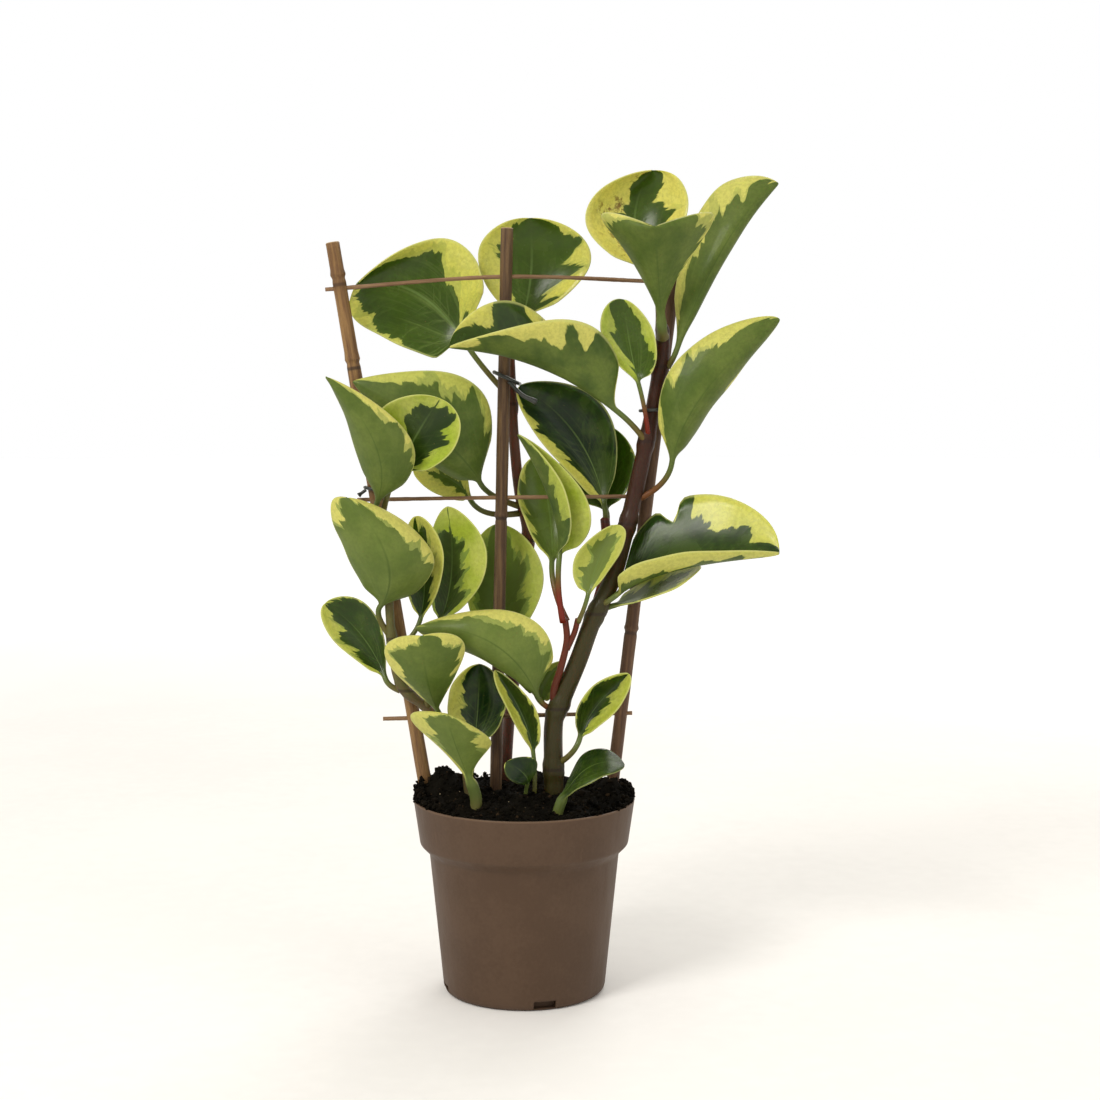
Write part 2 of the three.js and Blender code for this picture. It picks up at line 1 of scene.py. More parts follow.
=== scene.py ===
# %% [markdown]
# A variegated baby rubber plant
#
# The real thing is a small houseplant with thick, waxy, two-coloured leaves. It stands in a
# brown nursery pot, and its fleshy stems are tied to a little bamboo trellis. This lesson
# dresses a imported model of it: each cell replaces some of its plain solids with a finer
# surface worked out with numpy, and gives it a material made of shader nodes. All sizes are
# written in millimetres and turned into metres when a mesh is made.

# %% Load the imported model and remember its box
import math
import bpy
import numpy as np
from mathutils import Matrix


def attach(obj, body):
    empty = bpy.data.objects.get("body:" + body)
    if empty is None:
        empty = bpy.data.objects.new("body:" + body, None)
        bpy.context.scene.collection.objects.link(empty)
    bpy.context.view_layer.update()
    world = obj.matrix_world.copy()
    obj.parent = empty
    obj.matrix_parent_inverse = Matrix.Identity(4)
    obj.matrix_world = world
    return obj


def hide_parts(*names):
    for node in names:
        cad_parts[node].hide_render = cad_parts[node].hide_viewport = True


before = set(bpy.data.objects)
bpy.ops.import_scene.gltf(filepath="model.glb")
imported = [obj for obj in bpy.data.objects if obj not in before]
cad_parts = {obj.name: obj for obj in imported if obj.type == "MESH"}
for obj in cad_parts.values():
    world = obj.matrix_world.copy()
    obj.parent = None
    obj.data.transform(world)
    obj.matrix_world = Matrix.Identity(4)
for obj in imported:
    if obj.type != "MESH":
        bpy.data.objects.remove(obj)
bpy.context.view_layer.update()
MM = 0.001
FRONT = (0, -1, 0)
UP = (0, 0, 1)
print("nodes in the frame:", len(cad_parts))

# %% [markdown]
# The camera
#
# The photograph was taken from about a metre in front of the pot, a little above its middle
# and looking slightly down. A focal length in pixels and the picture's width give the lens:
# the sensor's width times the focal length, over the picture's width.

# %% Place the camera
PICTURE_WIDTH = 1100
FOCAL_LENGTH = 1866
SENSOR_WIDTH = 36
CAMERA_PLACE = (14, -1000, 322)
CAMERA_DIP = 4.7


def place_camera():
    """A camera that sees the plant as the photograph does."""
    lens = bpy.data.cameras.new("camera")
    lens.sensor_width = SENSOR_WIDTH
    lens.lens = SENSOR_WIDTH * FOCAL_LENGTH / PICTURE_WIDTH
    camera = bpy.data.objects.new("camera", lens)
    camera.location = [value * MM for value in CAMERA_PLACE]
    camera.rotation_euler = (math.radians(90 - CAMERA_DIP), 0, 0)
    bpy.context.collection.objects.link(camera)
    bpy.context.scene.camera = camera
    return camera


print("lens in millimetres:", round(place_camera().data.lens, 2))

# %% [markdown]
# From numbers to a mesh
#
# Nearly every piece here is a closed skin through rings of points, like a sock: a leaf, a
# stem, a cane and even the turned pot. Modifiers could make them too, but whole arrays of
# points are quick, exact and easy to change. A part is three arrays: its points, its faces
# and its marks, three numbers at each point that tell the materials where on the piece it is.

# %% Skins through rings


def ring_faces(rings, count):
    """Four-cornered faces between each ring and the next, then a fan of triangles from a middle
    point over each end. Points are numbered ring by ring, and the two middle points come last."""
    ring, place = np.meshgrid(np.arange(rings - 1), np.arange(count), indexing="ij")
    here = ring * count + place
    beside = ring * count + (place + 1) % count
    quads = np.stack([here, beside, beside + count, here + count], axis=-1).reshape(-1, 4)
    around = np.arange(count)
    after = (around + 1) % count
    last = (rings - 1) * count
    first_middle = np.full(count, rings * count)
    start = np.stack([first_middle, after, around], axis=-1)
    end = np.stack([first_middle + 1, last + around, last + after], axis=-1)
    return quads.tolist() + start.tolist() + end.tolist()


def skin(rings, marks):
    """A closed part through rings of points: both arrays have the shape (rings, points, 3)."""
    middles = rings[[0, -1]].mean(axis=1)
    middle_marks = marks[[0, -1]].mean(axis=1)
    points = np.concatenate([rings.reshape(-1, 3), middles])
    all_marks = np.concatenate([marks.reshape(-1, 3), middle_marks])
    return points, ring_faces(*rings.shape[:2]), all_marks


def volume_of(points, faces):
    """The volume inside closed faces: a sixth of the sum of a . (b x c) over their triangles."""
    triangles = [[f[0], f[i], f[i + 1]] for f in faces for i in range(1, len(f) - 1)]
    a, b, c = (points[np.array(triangles)[:, k]] for k in range(3))
    return (a * np.cross(b, c)).sum() / 6


print("faces around three rings of four points:", len(ring_faces(3, 4)))

# %% [markdown]
# A finished piece
#
# Some pieces hold several parts, such as a stem with its side shoots. They are joined into
# one object, which stands for its plain solid and rides on the model's one body. A part whose
# volume comes out negative is inside out, so its faces are turned round.

# %% Make an object from parts


def make_piece(name, parts, material, node):
    """Joins parts, whose points are in millimetres, into one object that replaces a node."""
    corners, faces, marks = [], [], []
    total = 0
    for points, part_faces, part_marks in parts:
        if volume_of(points, part_faces) < 0:
            part_faces = [face[::-1] for face in part_faces]
        faces += [[corner + total for corner in face] for face in part_faces]
        corners.append(points)
        marks.append(part_marks)
        total += len(points)
    mesh = bpy.data.meshes.new(name)
    mesh.from_pydata((np.concatenate(corners) * MM).tolist(), [], faces)
    mesh.shade_smooth()
    place = mesh.attributes.new("place", "FLOAT_VECTOR", "POINT")
    place.data.foreach_set("vector", np.concatenate(marks).astype(np.float32).ravel())
    mesh.materials.append(material)
    piece = bpy.data.objects.new(name, mesh)
    bpy.context.collection.objects.link(piece)
    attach(piece, "root")
    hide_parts(node)
    return piece

# %% [markdown]
# Writing materials as sums
#
# A shader is a graph of nodes, and wiring it by hand takes many lines. This little helper
# adds nodes to one tree: each method takes sockets or plain numbers and hands back an output
# socket, so a pattern can be written almost as its formula.

# %% A helper for shader nodes


class Sketch:
    """Adds nodes to one shader tree. A method takes sockets or plain values."""

    def __init__(self, tree):
        self.tree = tree

    def feed(self, socket, value):
        """Links a socket, or sets it to a plain value."""
        if isinstance(value, bpy.types.NodeSocket):
            self.tree.links.new(value, socket)
        else:
            socket.default_value = value

    def node(self, kind, values, **settings):
        """A new node. values gives its inputs by name or by number."""
        made = self.tree.nodes.new("ShaderNode" + kind)
        for name, setting in settings.items():
            setattr(made, name, setting)
        for key, value in values.items():
            self.feed(made.inputs[key], value)
        return made

    def calculate(self, operation, *values):
        """The result of a Math node, such as POWER or ABSOLUTE."""
        return self.node("Math", dict(enumerate(values)), operation=operation).outputs[0]

    def plus(self, first, second):
        return self.calculate("ADD", first, second)

    def minus(self, first, second):
        return self.calculate("SUBTRACT", first, second)

    def times(self, first, second):
        return self.calculate("MULTIPLY", first, second)

    def larger(self, first, second):
        return self.calculate("MAXIMUM", first, second)

    def line(self, value, low, high, first, last, way="LINEAR"):
        """Goes evenly from first to last while value goes from low to high."""
        inputs = {"Value": value, "From Min": low, "From Max": high, "To Min": first, "To Max": last}
        return self.node("MapRange", inputs, interpolation_type=way).outputs[0]

    def step(self, value, low, high):
        """Goes smoothly from 0 to 1 while value goes from low to high."""
        return self.line(value, low, high, 0.0, 1.0, "SMOOTHSTEP")

    def mix(self, share, first, second):
        """A colour between two: a share of 0 gives the first and 1 the second."""
        return self.node("Mix", {0: share, 6: first, 7: second}, data_type="RGBA").outputs[2]

    def stain(self, base, mask, amount, tint):
        """A tint laid over a base colour, as strongly as a mask times an amount."""
        return self.mix(self.times(mask, amount), base, tint)

    def point(self, x, y, z):
        """A vector from three values."""
        return self.node("CombineXYZ", {0: x, 1: y, 2: z}).outputs[0]

    def parts(self, vector):
        """The three values of a vector."""
        return self.node("SeparateXYZ", {0: vector}).outputs

    def noise(self, vector, scale, detail=2.0, roughness=0.5):
        """Soft random values from 0 to 1 around 0.5."""
        inputs = {"Vector": vector, "Scale": scale, "Detail": detail, "Roughness": roughness}
        return self.node("TexNoise", inputs).outputs["Fac"]

    def sway(self, noise, amount):
        """A noise around 0.5 as a change around 0."""
        return self.times(self.minus(noise, 0.5), amount)

    def scaled(self, vector, x, y, z):
        """A vector whose parts are stretched."""
        inputs = {"Vector": vector, "Scale": (x, y, z)}
        return self.node("Mapping", inputs).outputs[0]

    def marks(self):
        """The marks that each point of a piece carries."""
        return self.node("Attribute", {}, attribute_name="place").outputs["Vector"]

    def object_place(self):
        """Where a point is on the object, in metres."""
        return self.node("TexCoord", {}).outputs["Object"]

    def group(self, tree, values):
        """An effect that is shared between materials."""
        made = self.tree.nodes.new("ShaderNodeGroup")
        made.node_tree = tree
        for key, value in values.items():
            self.feed(made.inputs[key], value)
        return made.outputs


def colour(red, green, blue):
    """A screen colour from 0 to 255 as the linear one that shaders work with."""
    parts = np.array([red, green, blue]) / 255
    linear = np.where(parts <= 0.04045, parts / 12.92, ((parts + 0.055) / 1.055) ** 2.4)
    return (*linear.tolist(), 1.0)


SOCKET_KINDS = {1: "Float", 3: "Vector", 4: "Color"}


def new_effect(name, inputs, outputs):
    """A shader node group with named sockets, and the sketch, inputs and outputs to fill it."""
    tree = bpy.data.node_groups.new(name, "ShaderNodeTree")
    for socket, value in inputs.items():
        kind = "NodeSocket" + SOCKET_KINDS[np.size(value)]
        tree.interface.new_socket(socket, in_out="INPUT", socket_type=kind).default_value = value
    for socket, kind in outputs.items():
        tree.interface.new_socket(socket, in_out="OUTPUT", socket_type="NodeSocket" + kind)
    given = tree.nodes.new("NodeGroupInput").outputs
    wanted = tree.nodes.new("NodeGroupOutput").inputs
    return tree, Sketch(tree), given, wanted


def new_material(name, constants):
    """A material whose shader has these constant inputs, and the sketch to add nodes to it."""
    material = bpy.data.materials.new(name)
    material.use_nodes = True
    shader = material.node_tree.nodes["Principled BSDF"]
    for socket, value in constants.items():
        shader.inputs[socket].default_value = value
    return material, Sketch(material.node_tree), shader


def finish_material(sketch, shader, tint, roughness, height, depth):
    """Feeds the shader a colour, a roughness and a relief whose depth is in millimetres."""
    sketch.feed(shader.inputs["Base Color"], tint)
    sketch.feed(shader.inputs["Roughness"], roughness)
    bump = sketch.node("Bump", {"Height": height, "Strength": 1.0, "Distance": depth * MM})
    sketch.feed(shader.inputs["Normal"], bump.outputs[0])


print("middle grey as a linear colour:", colour(128, 128, 128))

# %% [markdown]
# Two shared effects
#
# Mottle is the slow change of tone that plastic, soil and skin all have, with a fine grain on
# top. Fibres are streaks that run along a rod, for bamboo and for the fleshy stems: the noise
# is squeezed along the rod's length, so each speck becomes a long line.

# %% Build the shared effects


def make_mottle():
    """0.7 of a slow noise and 0.3 of one twenty times finer choose between the two tints, and
    the fine one alone is the height."""
    inputs = {"Vector": (0.0, 0.0, 0.0), "Scale": 60.0, "Amount": 0.5,
              "Light": (1.0, 1.0, 1.0, 1.0), "Dark": (0.0, 0.0, 0.0, 1.0)}
    tree, sketch, given, wanted = new_effect("Mottle", inputs, {"Color": "Color", "Height": "Float"})
    slow = sketch.noise(given["Vector"], given["Scale"], 4.0, 0.6)
    fine = sketch.noise(given["Vector"], sketch.times(given["Scale"], 20.0), 2.0, 0.6)
    both = sketch.plus(sketch.times(slow, 0.7), sketch.times(fine, 0.3))
    tint = sketch.stain(given["Light"], sketch.step(both, 0.38, 0.62), given["Amount"], given["Dark"])
    sketch.feed(wanted["Color"], tint)
    sketch.feed(wanted["Height"], fine)
    return tree


def make_fibres():
    """Two noises that are squeezed along the rod: broad streaks and fine lines."""
    inputs = {"Place": (0.0, 0.0, 0.0), "Width": 1.0, "Seed": 0.0}
    outputs = {"Streaks": "Float", "Fine": "Float"}
    tree, sketch, given, wanted = new_effect("Fibres", inputs, outputs)
    *sides, along = sketch.parts(given["Place"])
    across = [sketch.calculate("DIVIDE", side, given["Width"]) for side in sides]
    slow = sketch.plus(sketch.times(along, 0.03), given["Seed"])
    quick = sketch.plus(sketch.times(along, 0.12), given["Seed"])
    broad = sketch.noise(sketch.point(*across, slow), 0.9, 3.0, 0.6)
    narrow = sketch.noise(sketch.point(*across, quick), 4.5, 3.0, 0.65)
    sketch.feed(wanted["Streaks"], sketch.step(broad, 0.35, 0.65))
    sketch.feed(wanted["Fine"], sketch.step(narrow, 0.35, 0.65))
    return tree


mottle = make_mottle()
fibres = make_fibres()
print("effects:", [tree.name for tree in bpy.data.node_groups])

# %% [markdown]
# The pot
#
# A nursery pot is blown or injection moulded from brown plastic: a tapered wall, a shoulder,
# a straight rim band and a foot with a groove and four drain slots. It could be a cylinder
# with loop cuts, but a turned profile needs only its corners. The slots are cut with a
# Boolean, which is applied at once.

# %% Turn the pot's profile
POT_HEIGHT = 105
RIM_RADIUS = 60
RIM_FOOT_RADIUS = 56.5
RIM_BAND = 24
SHOULDER_RADIUS = 51.5
SHOULDER_DROP = 5
SHOULDER_TOP = POT_HEIGHT - RIM_BAND
SHOULDER_FOOT = SHOULDER_TOP - SHOULDER_DROP
FOOT_RADIUS = 43.8
POT_WALL = 1.6
POT_FLOOR = 3.5
GROOVE_INNER = 14
GROOVE_OUTER = 32
GROOVE_DEPTH = 1.8
POT_SEGMENTS = 180
WALL_RINGS = (6.5, 7.5, 20, 40, 60)


def outer_radius(height):
    """The pot's outer wall: straight lines between its foot, its shoulder and its rim."""
    heights = [0, SHOULDER_FOOT, SHOULDER_TOP, POT_HEIGHT]
    return np.interp(height, heights, [FOOT_RADIUS, SHOULDER_RADIUS, RIM_FOOT_RADIUS, RIM_RADIUS])


def rounded(corners, steps=5):
    """Replaces each corner (radius, height, rounding) by an arc: a parabola that starts and
    ends on the two straight sides, as far from the corner as its rounding."""
    corners = np.array(corners, float)
    places, roundings = corners[:, :2], corners[:, 2]
    line = [places[:1]]
    ways = np.linspace(0, 1, steps)[:, None]
    for before, here, after, rounding in zip(places[:-2], places[1:-1], places[2:], roundings[1:-1]):
        start = here + (before - here) * rounding / np.linalg.norm(before - here)
        end = here + (after - here) * rounding / np.linalg.norm(after - here)
        line.append(start * (1 - ways) ** 2 + 2 * here * ways * (1 - ways) + end * ways ** 2)
    line.append(places[-1:])
    return np.concatenate(line)


def turned(profile, segments):
    """Rings around the upright axis: a point is (radius cos a, radius sin a, height)."""
    angle = np.arange(segments) * 2 * math.pi / segments
    radius, height = profile[:, :1], profile[:, 1:]
    rings = np.stack([radius * np.cos(angle), radius * np.sin(angle), height + 0 * angle], axis=-1)
    return skin(rings, rings)


def pot_profile():
    """From the middle of the foot up the outside, over the rim and down the inside."""
    inner = outer_radius(np.array([POT_FLOOR, SHOULDER_FOOT, SHOULDER_TOP, POT_HEIGHT])) - POT_WALL
    return rounded([
        (1, 0, 0), (GROOVE_INNER, 0, 0.5), (GROOVE_INNER + GROOVE_DEPTH, GROOVE_DEPTH, 0.5),
        (GROOVE_OUTER - GROOVE_DEPTH, GROOVE_DEPTH, 0.5), (GROOVE_OUTER, 0, 0.5),
        (FOOT_RADIUS, 0, 3.5), *((outer_radius(height), height, 0.1) for height in WALL_RINGS),
        (SHOULDER_RADIUS, SHOULDER_FOOT, 1.5),
        (RIM_FOOT_RADIUS, SHOULDER_TOP, 1), (RIM_RADIUS, POT_HEIGHT, 0.7),
        (inner[3], POT_HEIGHT, 0.6), (inner[2], SHOULDER_TOP, 1), (inner[1], SHOULDER_FOOT, 1.5),
        *((outer_radius(height) - POT_WALL, height, 0.1) for height in WALL_RINGS[::-1]),
        (inner[0], POT_FLOOR, 2), (1, POT_FLOOR, 0),
    ])


def cut_slots(pot, width=12, depth=9, height=4, lift=1.2, first=15, count=4):
    """Cuts evenly spaced slots through the pot's foot, then keeps only the cut mesh."""
    box = np.array([[x, y, z] for x in (-1, 1) for y in (-1, 1) for z in (-1, 1)]) / 2
    box = box * (width, depth, height) + (0, -FOOT_RADIUS, lift + height / 2)
    sides = [[0, 1, 3, 2], [4, 6, 7, 5], [0, 4, 5, 1], [2, 3, 7, 6], [0, 2, 6, 4], [1, 5, 7, 3]]
    corners, faces = [], []
    for k in range(count):
        angle = math.radians(first + 360 / count * k)
        turn = np.array([[math.cos(angle), -math.sin(angle)], [math.sin(angle), math.cos(angle)]])
        corners.append(np.column_stack([box[:, :2] @ turn.T, box[:, 2]]) * MM)
        faces += [[corner + 8 * k for corner in side] for side in sides]
    mesh = bpy.data.meshes.new("slots")
    mesh.from_pydata(np.concatenate(corners).tolist(), [], faces)
    cutter = bpy.data.objects.new("slots", mesh)
    bpy.context.collection.objects.link(cutter)
    cut = pot.modifiers.new("slots", "BOOLEAN")
    cut.object = cutter
    cut.solver = "EXACT"
    bpy.context.view_layer.update()
    result = bpy.data.meshes.new_from_object(pot.evaluated_get(bpy.context.evaluated_depsgraph_get()))
    pot.modifiers.clear()
    pot.data = result
    bpy.data.objects.remove(cutter)


print("points in the pot's profile:", len(pot_profile()))

# %% [markdown]
# Brown plastic
#
# The pot is matte taupe plastic: a nearly even brown, a little paler where it was rubbed,
# with a fine moulded grain. Along the thin top edge of the rim it is paler too, as a painted
# highlight. Height picks out the rubbed places, so one material does the whole pot.

# %% Give the pot its plastic


def plastic():
    """Mottled taupe plastic, paler where it was rubbed, with a painted highlight along the rim's top edge.
    """
    material, sketch, shader = new_material("pot_plastic", {"Specular IOR Level": 0.2})
    place = sketch.object_place()
    tones = {"Vector": place, "Scale": 28.0, "Amount": 0.55,
             "Light": colour(84, 65, 50), "Dark": colour(72, 54, 40)}
    body = sketch.group(mottle, tones)
    up = sketch.parts(place)[2]
    # edge is a painted highlight: a pale line along the rim's top edge, where light catches it
    edge = sketch.step(up, (POT_HEIGHT - 1.2) * MM, (POT_HEIGHT - 0.2) * MM)
    scuffs = sketch.noise(sketch.scaled(place, 1, 1, 0.2), 90.0, 5.0, 0.7)
    rubbed = sketch.step(scuffs, 0.6, 0.72)
    near_foot = sketch.step(up, 30 * MM, 2 * MM)
    near_rim = sketch.step(up, (SHOULDER_TOP - 6) * MM, SHOULDER_TOP * MM)
    worn = sketch.times(rubbed, sketch.larger(near_foot, near_rim))
    # share mixes the painted rim highlight with half of the real wear where the pot was rubbed
    share = sketch.larger(edge, sketch.times(worn, 0.5))
    tint = sketch.stain(body["Color"], share, 0.6, colour(112, 90, 72))
    roughness = sketch.line(scuffs, 0.3, 0.7, 0.42, 0.6)
    finish_material(sketch, shader, tint, roughness, body["Height"], 0.05)
    return material


pot = make_piece("nursery_pot", [turned(pot_profile(), POT_SEGMENTS)], plastic(), "pot")
cut_slots(pot)
print("pot faces:", len(pot.data.polygons))

# %% [markdown]
# The soil
#
# Damp peat fills the pot. It is heaped up at the left and at the right, where it spills over
# the rim, and a little at the back and around the main stem. Its body is a turned shape whose
# top follows a formula: a low crown, a few long waves and four bell-shaped heaps, plus a rough
# crumble from random numbers. Thousands of crumbs lie on it, each a dented ball of twenty
# faces, because a bump alone would leave its outline smooth.

# %% Pile up the soil
SOIL_EDGE = 103
SOIL_CROWN = 4
SOIL_GAP = 0.3
SOIL_WAVES = ((0.7, 21, 30), (0.6, -26, 17), (0.5, 9, -12))
SOIL_HEAPS = ((-48, 8, 17, 16), (50, 5, 12, 15), (5, 42, 4.5, 24), (4, -14, 3, 16))
DARK_TONES = (0.0, 0.35)
BARK_TONES = (0.4, 0.7)
GRIT_TONES = (0.8, 1.0)
draw = np.random.default_rng(7)


def bell(away, width):
    """exp(-(away / width)^2): 1 in the middle and nearly 0 from two widths on."""
    return np.exp(-(away / width) ** 2)


def soil_top(right, back):
    """The edge's height plus, fading to the wall with the eighth power of the distance, a
    crown, waves rise sin(2 pi (x / a + y / b)) and heaps rise bell(distance, spread)."""
    distance = np.hypot(right, back) / RIM_RADIUS
    height = SOIL_CROWN * (1 - distance ** 2)
    for rise, across, deep in SOIL_WAVES:
        height = height + rise * np.sin(2 * math.pi * (right / across + back / deep))
    for at_right, at_back, rise, spread in SOIL_HEAPS:
        height = height + rise * bell(np.hypot(right - at_right, back - at_back), spread)
    return SOIL_EDGE + (1 - distance ** 8) * np.maximum(height, 0)


def soil_body(segments=150, top_rings=44):
    """The cavity's profile, then rings that close over the top, each point set to the soil's
    height and shaken by about half a millimetre."""
    wall = outer_radius(np.array([POT_FLOOR + 2, SHOULDER_FOOT, SHOULDER_TOP, SOIL_EDGE]))
    radius = wall - POT_WALL - SOIL_GAP
    lower = [(1, POT_FLOOR + SOIL_GAP), (radius[0] - 2, POT_FLOOR + SOIL_GAP),
             (radius[0], POT_FLOOR + 2.3), (radius[1], SHOULDER_FOOT), (radius[2], SHOULDER_TOP)]
    upper = [(radius[3] * (1 - k / top_rings) + 0.4, SOIL_EDGE) for k in range(top_rings)]
    points, faces, marks = turned(np.array(lower + upper), segments)
    top = points[:, 2] > SOIL_EDGE - 1
    rough = draw.normal(0, 0.45, top.sum())
    points[top, 2] = soil_top(points[top, 0], points[top, 1]) + rough
    return points, faces, np.zeros_like(marks)


def round_seed():
    """The twelve corners and twenty faces of an icosahedron one unit in radius."""
    golden = (1 + 5 ** 0.5) / 2
    flat = [(s, t * golden, 0) for s in (-1, 1) for t in (-1, 1)]
    corners = np.array([np.roll(corner, k) for corner in flat for k in range(3)])
    gaps = np.linalg.norm(corners[:, None] - corners[None], axis=-1)
    near = (gaps > 0.1) & (gaps < 2.1)
    faces = [[a, b, c] for a in range(12) for b in range(a + 1, 12) for c in range(b + 1, 12)
             if near[a, b] and near[b, c] and near[a, c]]
    centre_side = [np.dot(np.cross(corners[b] - corners[a], corners[c] - corners[a]), corners[a])
                   for a, b, c in faces]
    faces = [face if side > 0 else face[::-1] for face, side in zip(faces, centre_side)]
    return corners / np.linalg.norm(corners[0]), np.array(faces)


def strewn(places, small, large, tone):
    """Dented balls at given places: each corner of a ball is moved in or out at random, and
    the ball is stretched. The mark's first number is its tone."""
    corners, faces = round_seed()
    count = len(places)
    size = small + (large - small) * draw.uniform(0, 1, count) ** 3
    ball = corners[None] * draw.uniform(0.6, 1.25, (count, 12, 1)) * draw.uniform(0.6, 1.2, (count, 1, 3))
    points = ball * size[:, None, None] + (places + np.outer(0.15 * size, UP))[:, None]
    all_faces = faces[None] + 12 * np.arange(count)[:, None, None]
    shade = np.repeat(draw.uniform(*tone, count), 12)
    marks = np.stack([shade, 0 * shade, 0 * shade], axis=-1)
    return points.reshape(-1, 3), all_faces.reshape(-1, 3).tolist(), marks


def crumbs(count, small, large, reach, tone):
    """Crumbs spread evenly over the soil out to a reach, half sunk in it."""
    distance = reach * np.sqrt(draw.uniform(0, 1, count))
    angle = draw.uniform(0, 2 * math.pi, count)
    right, back = distance * np.cos(angle), distance * np.sin(angle)
    places = np.stack([right, back, soil_top(right, back)], axis=-1)
    return strewn(places, small, large, tone)


def spilled(heap, count, spread, height):
    """Crumbs of a heap that reached the rim: they lie in an arc around the heap's direction,
    from the soil to the rim's outer edge, stacked higher in its middle."""
    at_right, at_back = heap[:2]
    middle = math.atan2(at_back, at_right)
    away = np.clip(draw.normal(0, 0.5, count), -1.2, 1.2)
    angle = middle + away * spread
    distance = draw.uniform(RIM_RADIUS - 5, RIM_RADIUS - 0.3, count)
    right, back = distance * np.cos(angle), distance * np.sin(angle)
    pile = height * draw.uniform(0, 1, count) ** 1.5 * bell(away, 1)
    floor = np.maximum(soil_top(right, back), POT_HEIGHT)
    places = np.stack([right, back, floor + pile], axis=-1)
    return strewn(places, small=0.7, large=1.7, tone=DARK_TONES)


def peat():
    """Black-brown soil: the mark's first number lightens a crumb from peat to bark to grit."""
    material, sketch, shader = new_material("peat", {"Specular IOR Level": 0.05})
    place = sketch.object_place()
    tones = {"Vector": place, "Scale": 120.0, "Amount": 0.9,
             "Light": colour(20, 17, 11), "Dark": colour(6, 5, 3)}
    body = sketch.group(mottle, tones)
    tone = sketch.parts(sketch.marks())[0]
    bark = sketch.mix(sketch.step(tone, 0.2, 0.7), body["Color"], colour(52, 40, 27))
    tint = sketch.mix(sketch.step(tone, 0.75, 0.95), bark, colour(176, 158, 128))
    rough = sketch.noise(place, 900.0, 4.0, 0.7)
    finish_material(sketch, shader, tint, sketch.line(rough, 0.3, 0.7, 0.75, 1.0), rough, 0.5)
    return material


soil_parts = [
    soil_body(),
    crumbs(2600, small=0.5, large=2.0, reach=RIM_RADIUS - 2.2, tone=DARK_TONES),
    crumbs(260, small=0.4, large=1.4, reach=RIM_RADIUS - 2.5, tone=BARK_TONES),
    crumbs(60, small=0.3, large=0.8, reach=RIM_RADIUS - 3, tone=GRIT_TONES),
    spilled(SOIL_HEAPS[0], count=700, spread=0.9, height=7),
    spilled(SOIL_HEAPS[1], count=500, spread=0.8, height=5),
]
soil = make_piece("peat_soil", soil_parts, peat(), "soil")
print("soil faces:", len(soil.data.polygons))

# %% [markdown]
# Rods along a path
#
# Canes, bars, wires and stems are all round rods. A smooth path through a few points is a
# Catmull-Rom curve: between two points it is a cubic that heads, at each one, the way its
# neighbours lie. Around each place on it stands a ring. The side of a ring comes from the
# path's heading and one fixed direction, so a rod never twists.

# %% Carry a ring along a path


def unit(vectors):
    """Vectors with the same directions and a length of 1."""
    return vectors / np.linalg.norm(vectors, axis=-1, keepdims=True)


def ease(value):
    """The smooth step 3 x^2 - 2 x^3 between 0 and 1."""
    value = np.clip(value, 0, 1)
    return value ** 2 * (3 - 2 * value)


def smooth_path(points, steps):
    """Cubics through the points, sampled at even lengths: (places, length along)."""
    points = np.array(points, float)
    knots = np.concatenate([[2 * points[0] - points[1]], points, [2 * points[-1] - points[-2]]])
    a, b, c, d = knots[:-3], knots[1:-2], knots[2:-1], knots[3:]
    t = np.linspace(0, 1, 16, endpoint=False)[:, None, None]
    spans = b + (c - a) * t / 2 + (a - 2.5 * b + 2 * c - d / 2) * t ** 2
    spans = spans + (3 * (b - c) + d - a) * t ** 3 / 2
    dense = np.concatenate([spans.transpose(1, 0, 2).reshape(-1, 3), points[-1:]])
    lengths = np.concatenate([[0], np.cumsum(np.linalg.norm(np.diff(dense, axis=0), axis=1))])
    wanted = np.linspace(0, lengths[-1], steps + 1)
    return np.stack([np.interp(wanted, lengths, dense[:, k]) for k in range(3)], axis=1), wanted


def rod(path, along, radius, sides, facing=FRONT, heading=None):
    """Rings whose points are centre + radius (cos a side + sin a normal). The marks are the
    place in the rod's own cross-section and the length along it."""
    if heading is None:
        heading = unit(np.gradient(path, axis=0))
    side = unit(np.cross(heading, facing))
    normal = np.cross(side, heading)
    angle = math.pi * (1 - (2 * np.arange(sides) + 1) / sides)
    radius = np.broadcast_to(np.asarray(radius, float).reshape(len(path), -1), (len(path), sides))
    x, y = radius * np.cos(angle), radius * np.sin(angle)
    rings = path[:, None] + x[..., None] * side[:, None] + y[..., None] * normal[:, None]
    marks = np.stack([x, y, np.broadcast_to(along[:, None], x.shape)], axis=-1)
    return skin(rings, marks)


print("length of a bend:", smooth_path([(0, 0, 0), (30, 0, 10), (40, 0, 40)], steps=20)[1][-1])

# %% [markdown]
# The bamboo trellis
#
# Three canes fan out from the soil, and three thin split bars pierce them. Bamboo is nearly
# straight, swells in a ring at each joint and has a fine groove below it. Each cane's radius
# is its own radius plus a bell at every joint, minus a smaller bell just below.

# %% Shape the canes and bars
TRELLIS_BACK = 10
TRELLIS_TURN = 0.05
CANES = {
    "left": dict(foot=(-49.8, 83), top=(-102, 404), radius=3.7, joints=(342, 387)),
    "middle": dict(foot=(-17, 52), top=(-9, 412), radius=3.3, joints=(258, 356)),
    "right": dict(foot=(42, 56), top=(81, 388), radius=3.5, joints=(196, 322)),
}
BARS = {
    "top": ((-106, 379), (-14, 386), (65, 384), (90, 383)),
    "middle": ((-90, 266.5), (-14, 267.5), (68, 268)),
    "bottom": ((-77, 147), (-10, 148), (59, 149)),
}
BAR_RADIUS = 1.1
JOINT_SWELL = 0.45
JOINT_WIDTH = 1.3
GROOVE_BELOW = 2.2
CANE_GROOVE = 0.3


def in_trellis(right, up):
    """A point of the trellis's upright plane, which turns back a little to the right."""
    return np.array([right, TRELLIS_BACK + TRELLIS_TURN * right, up])


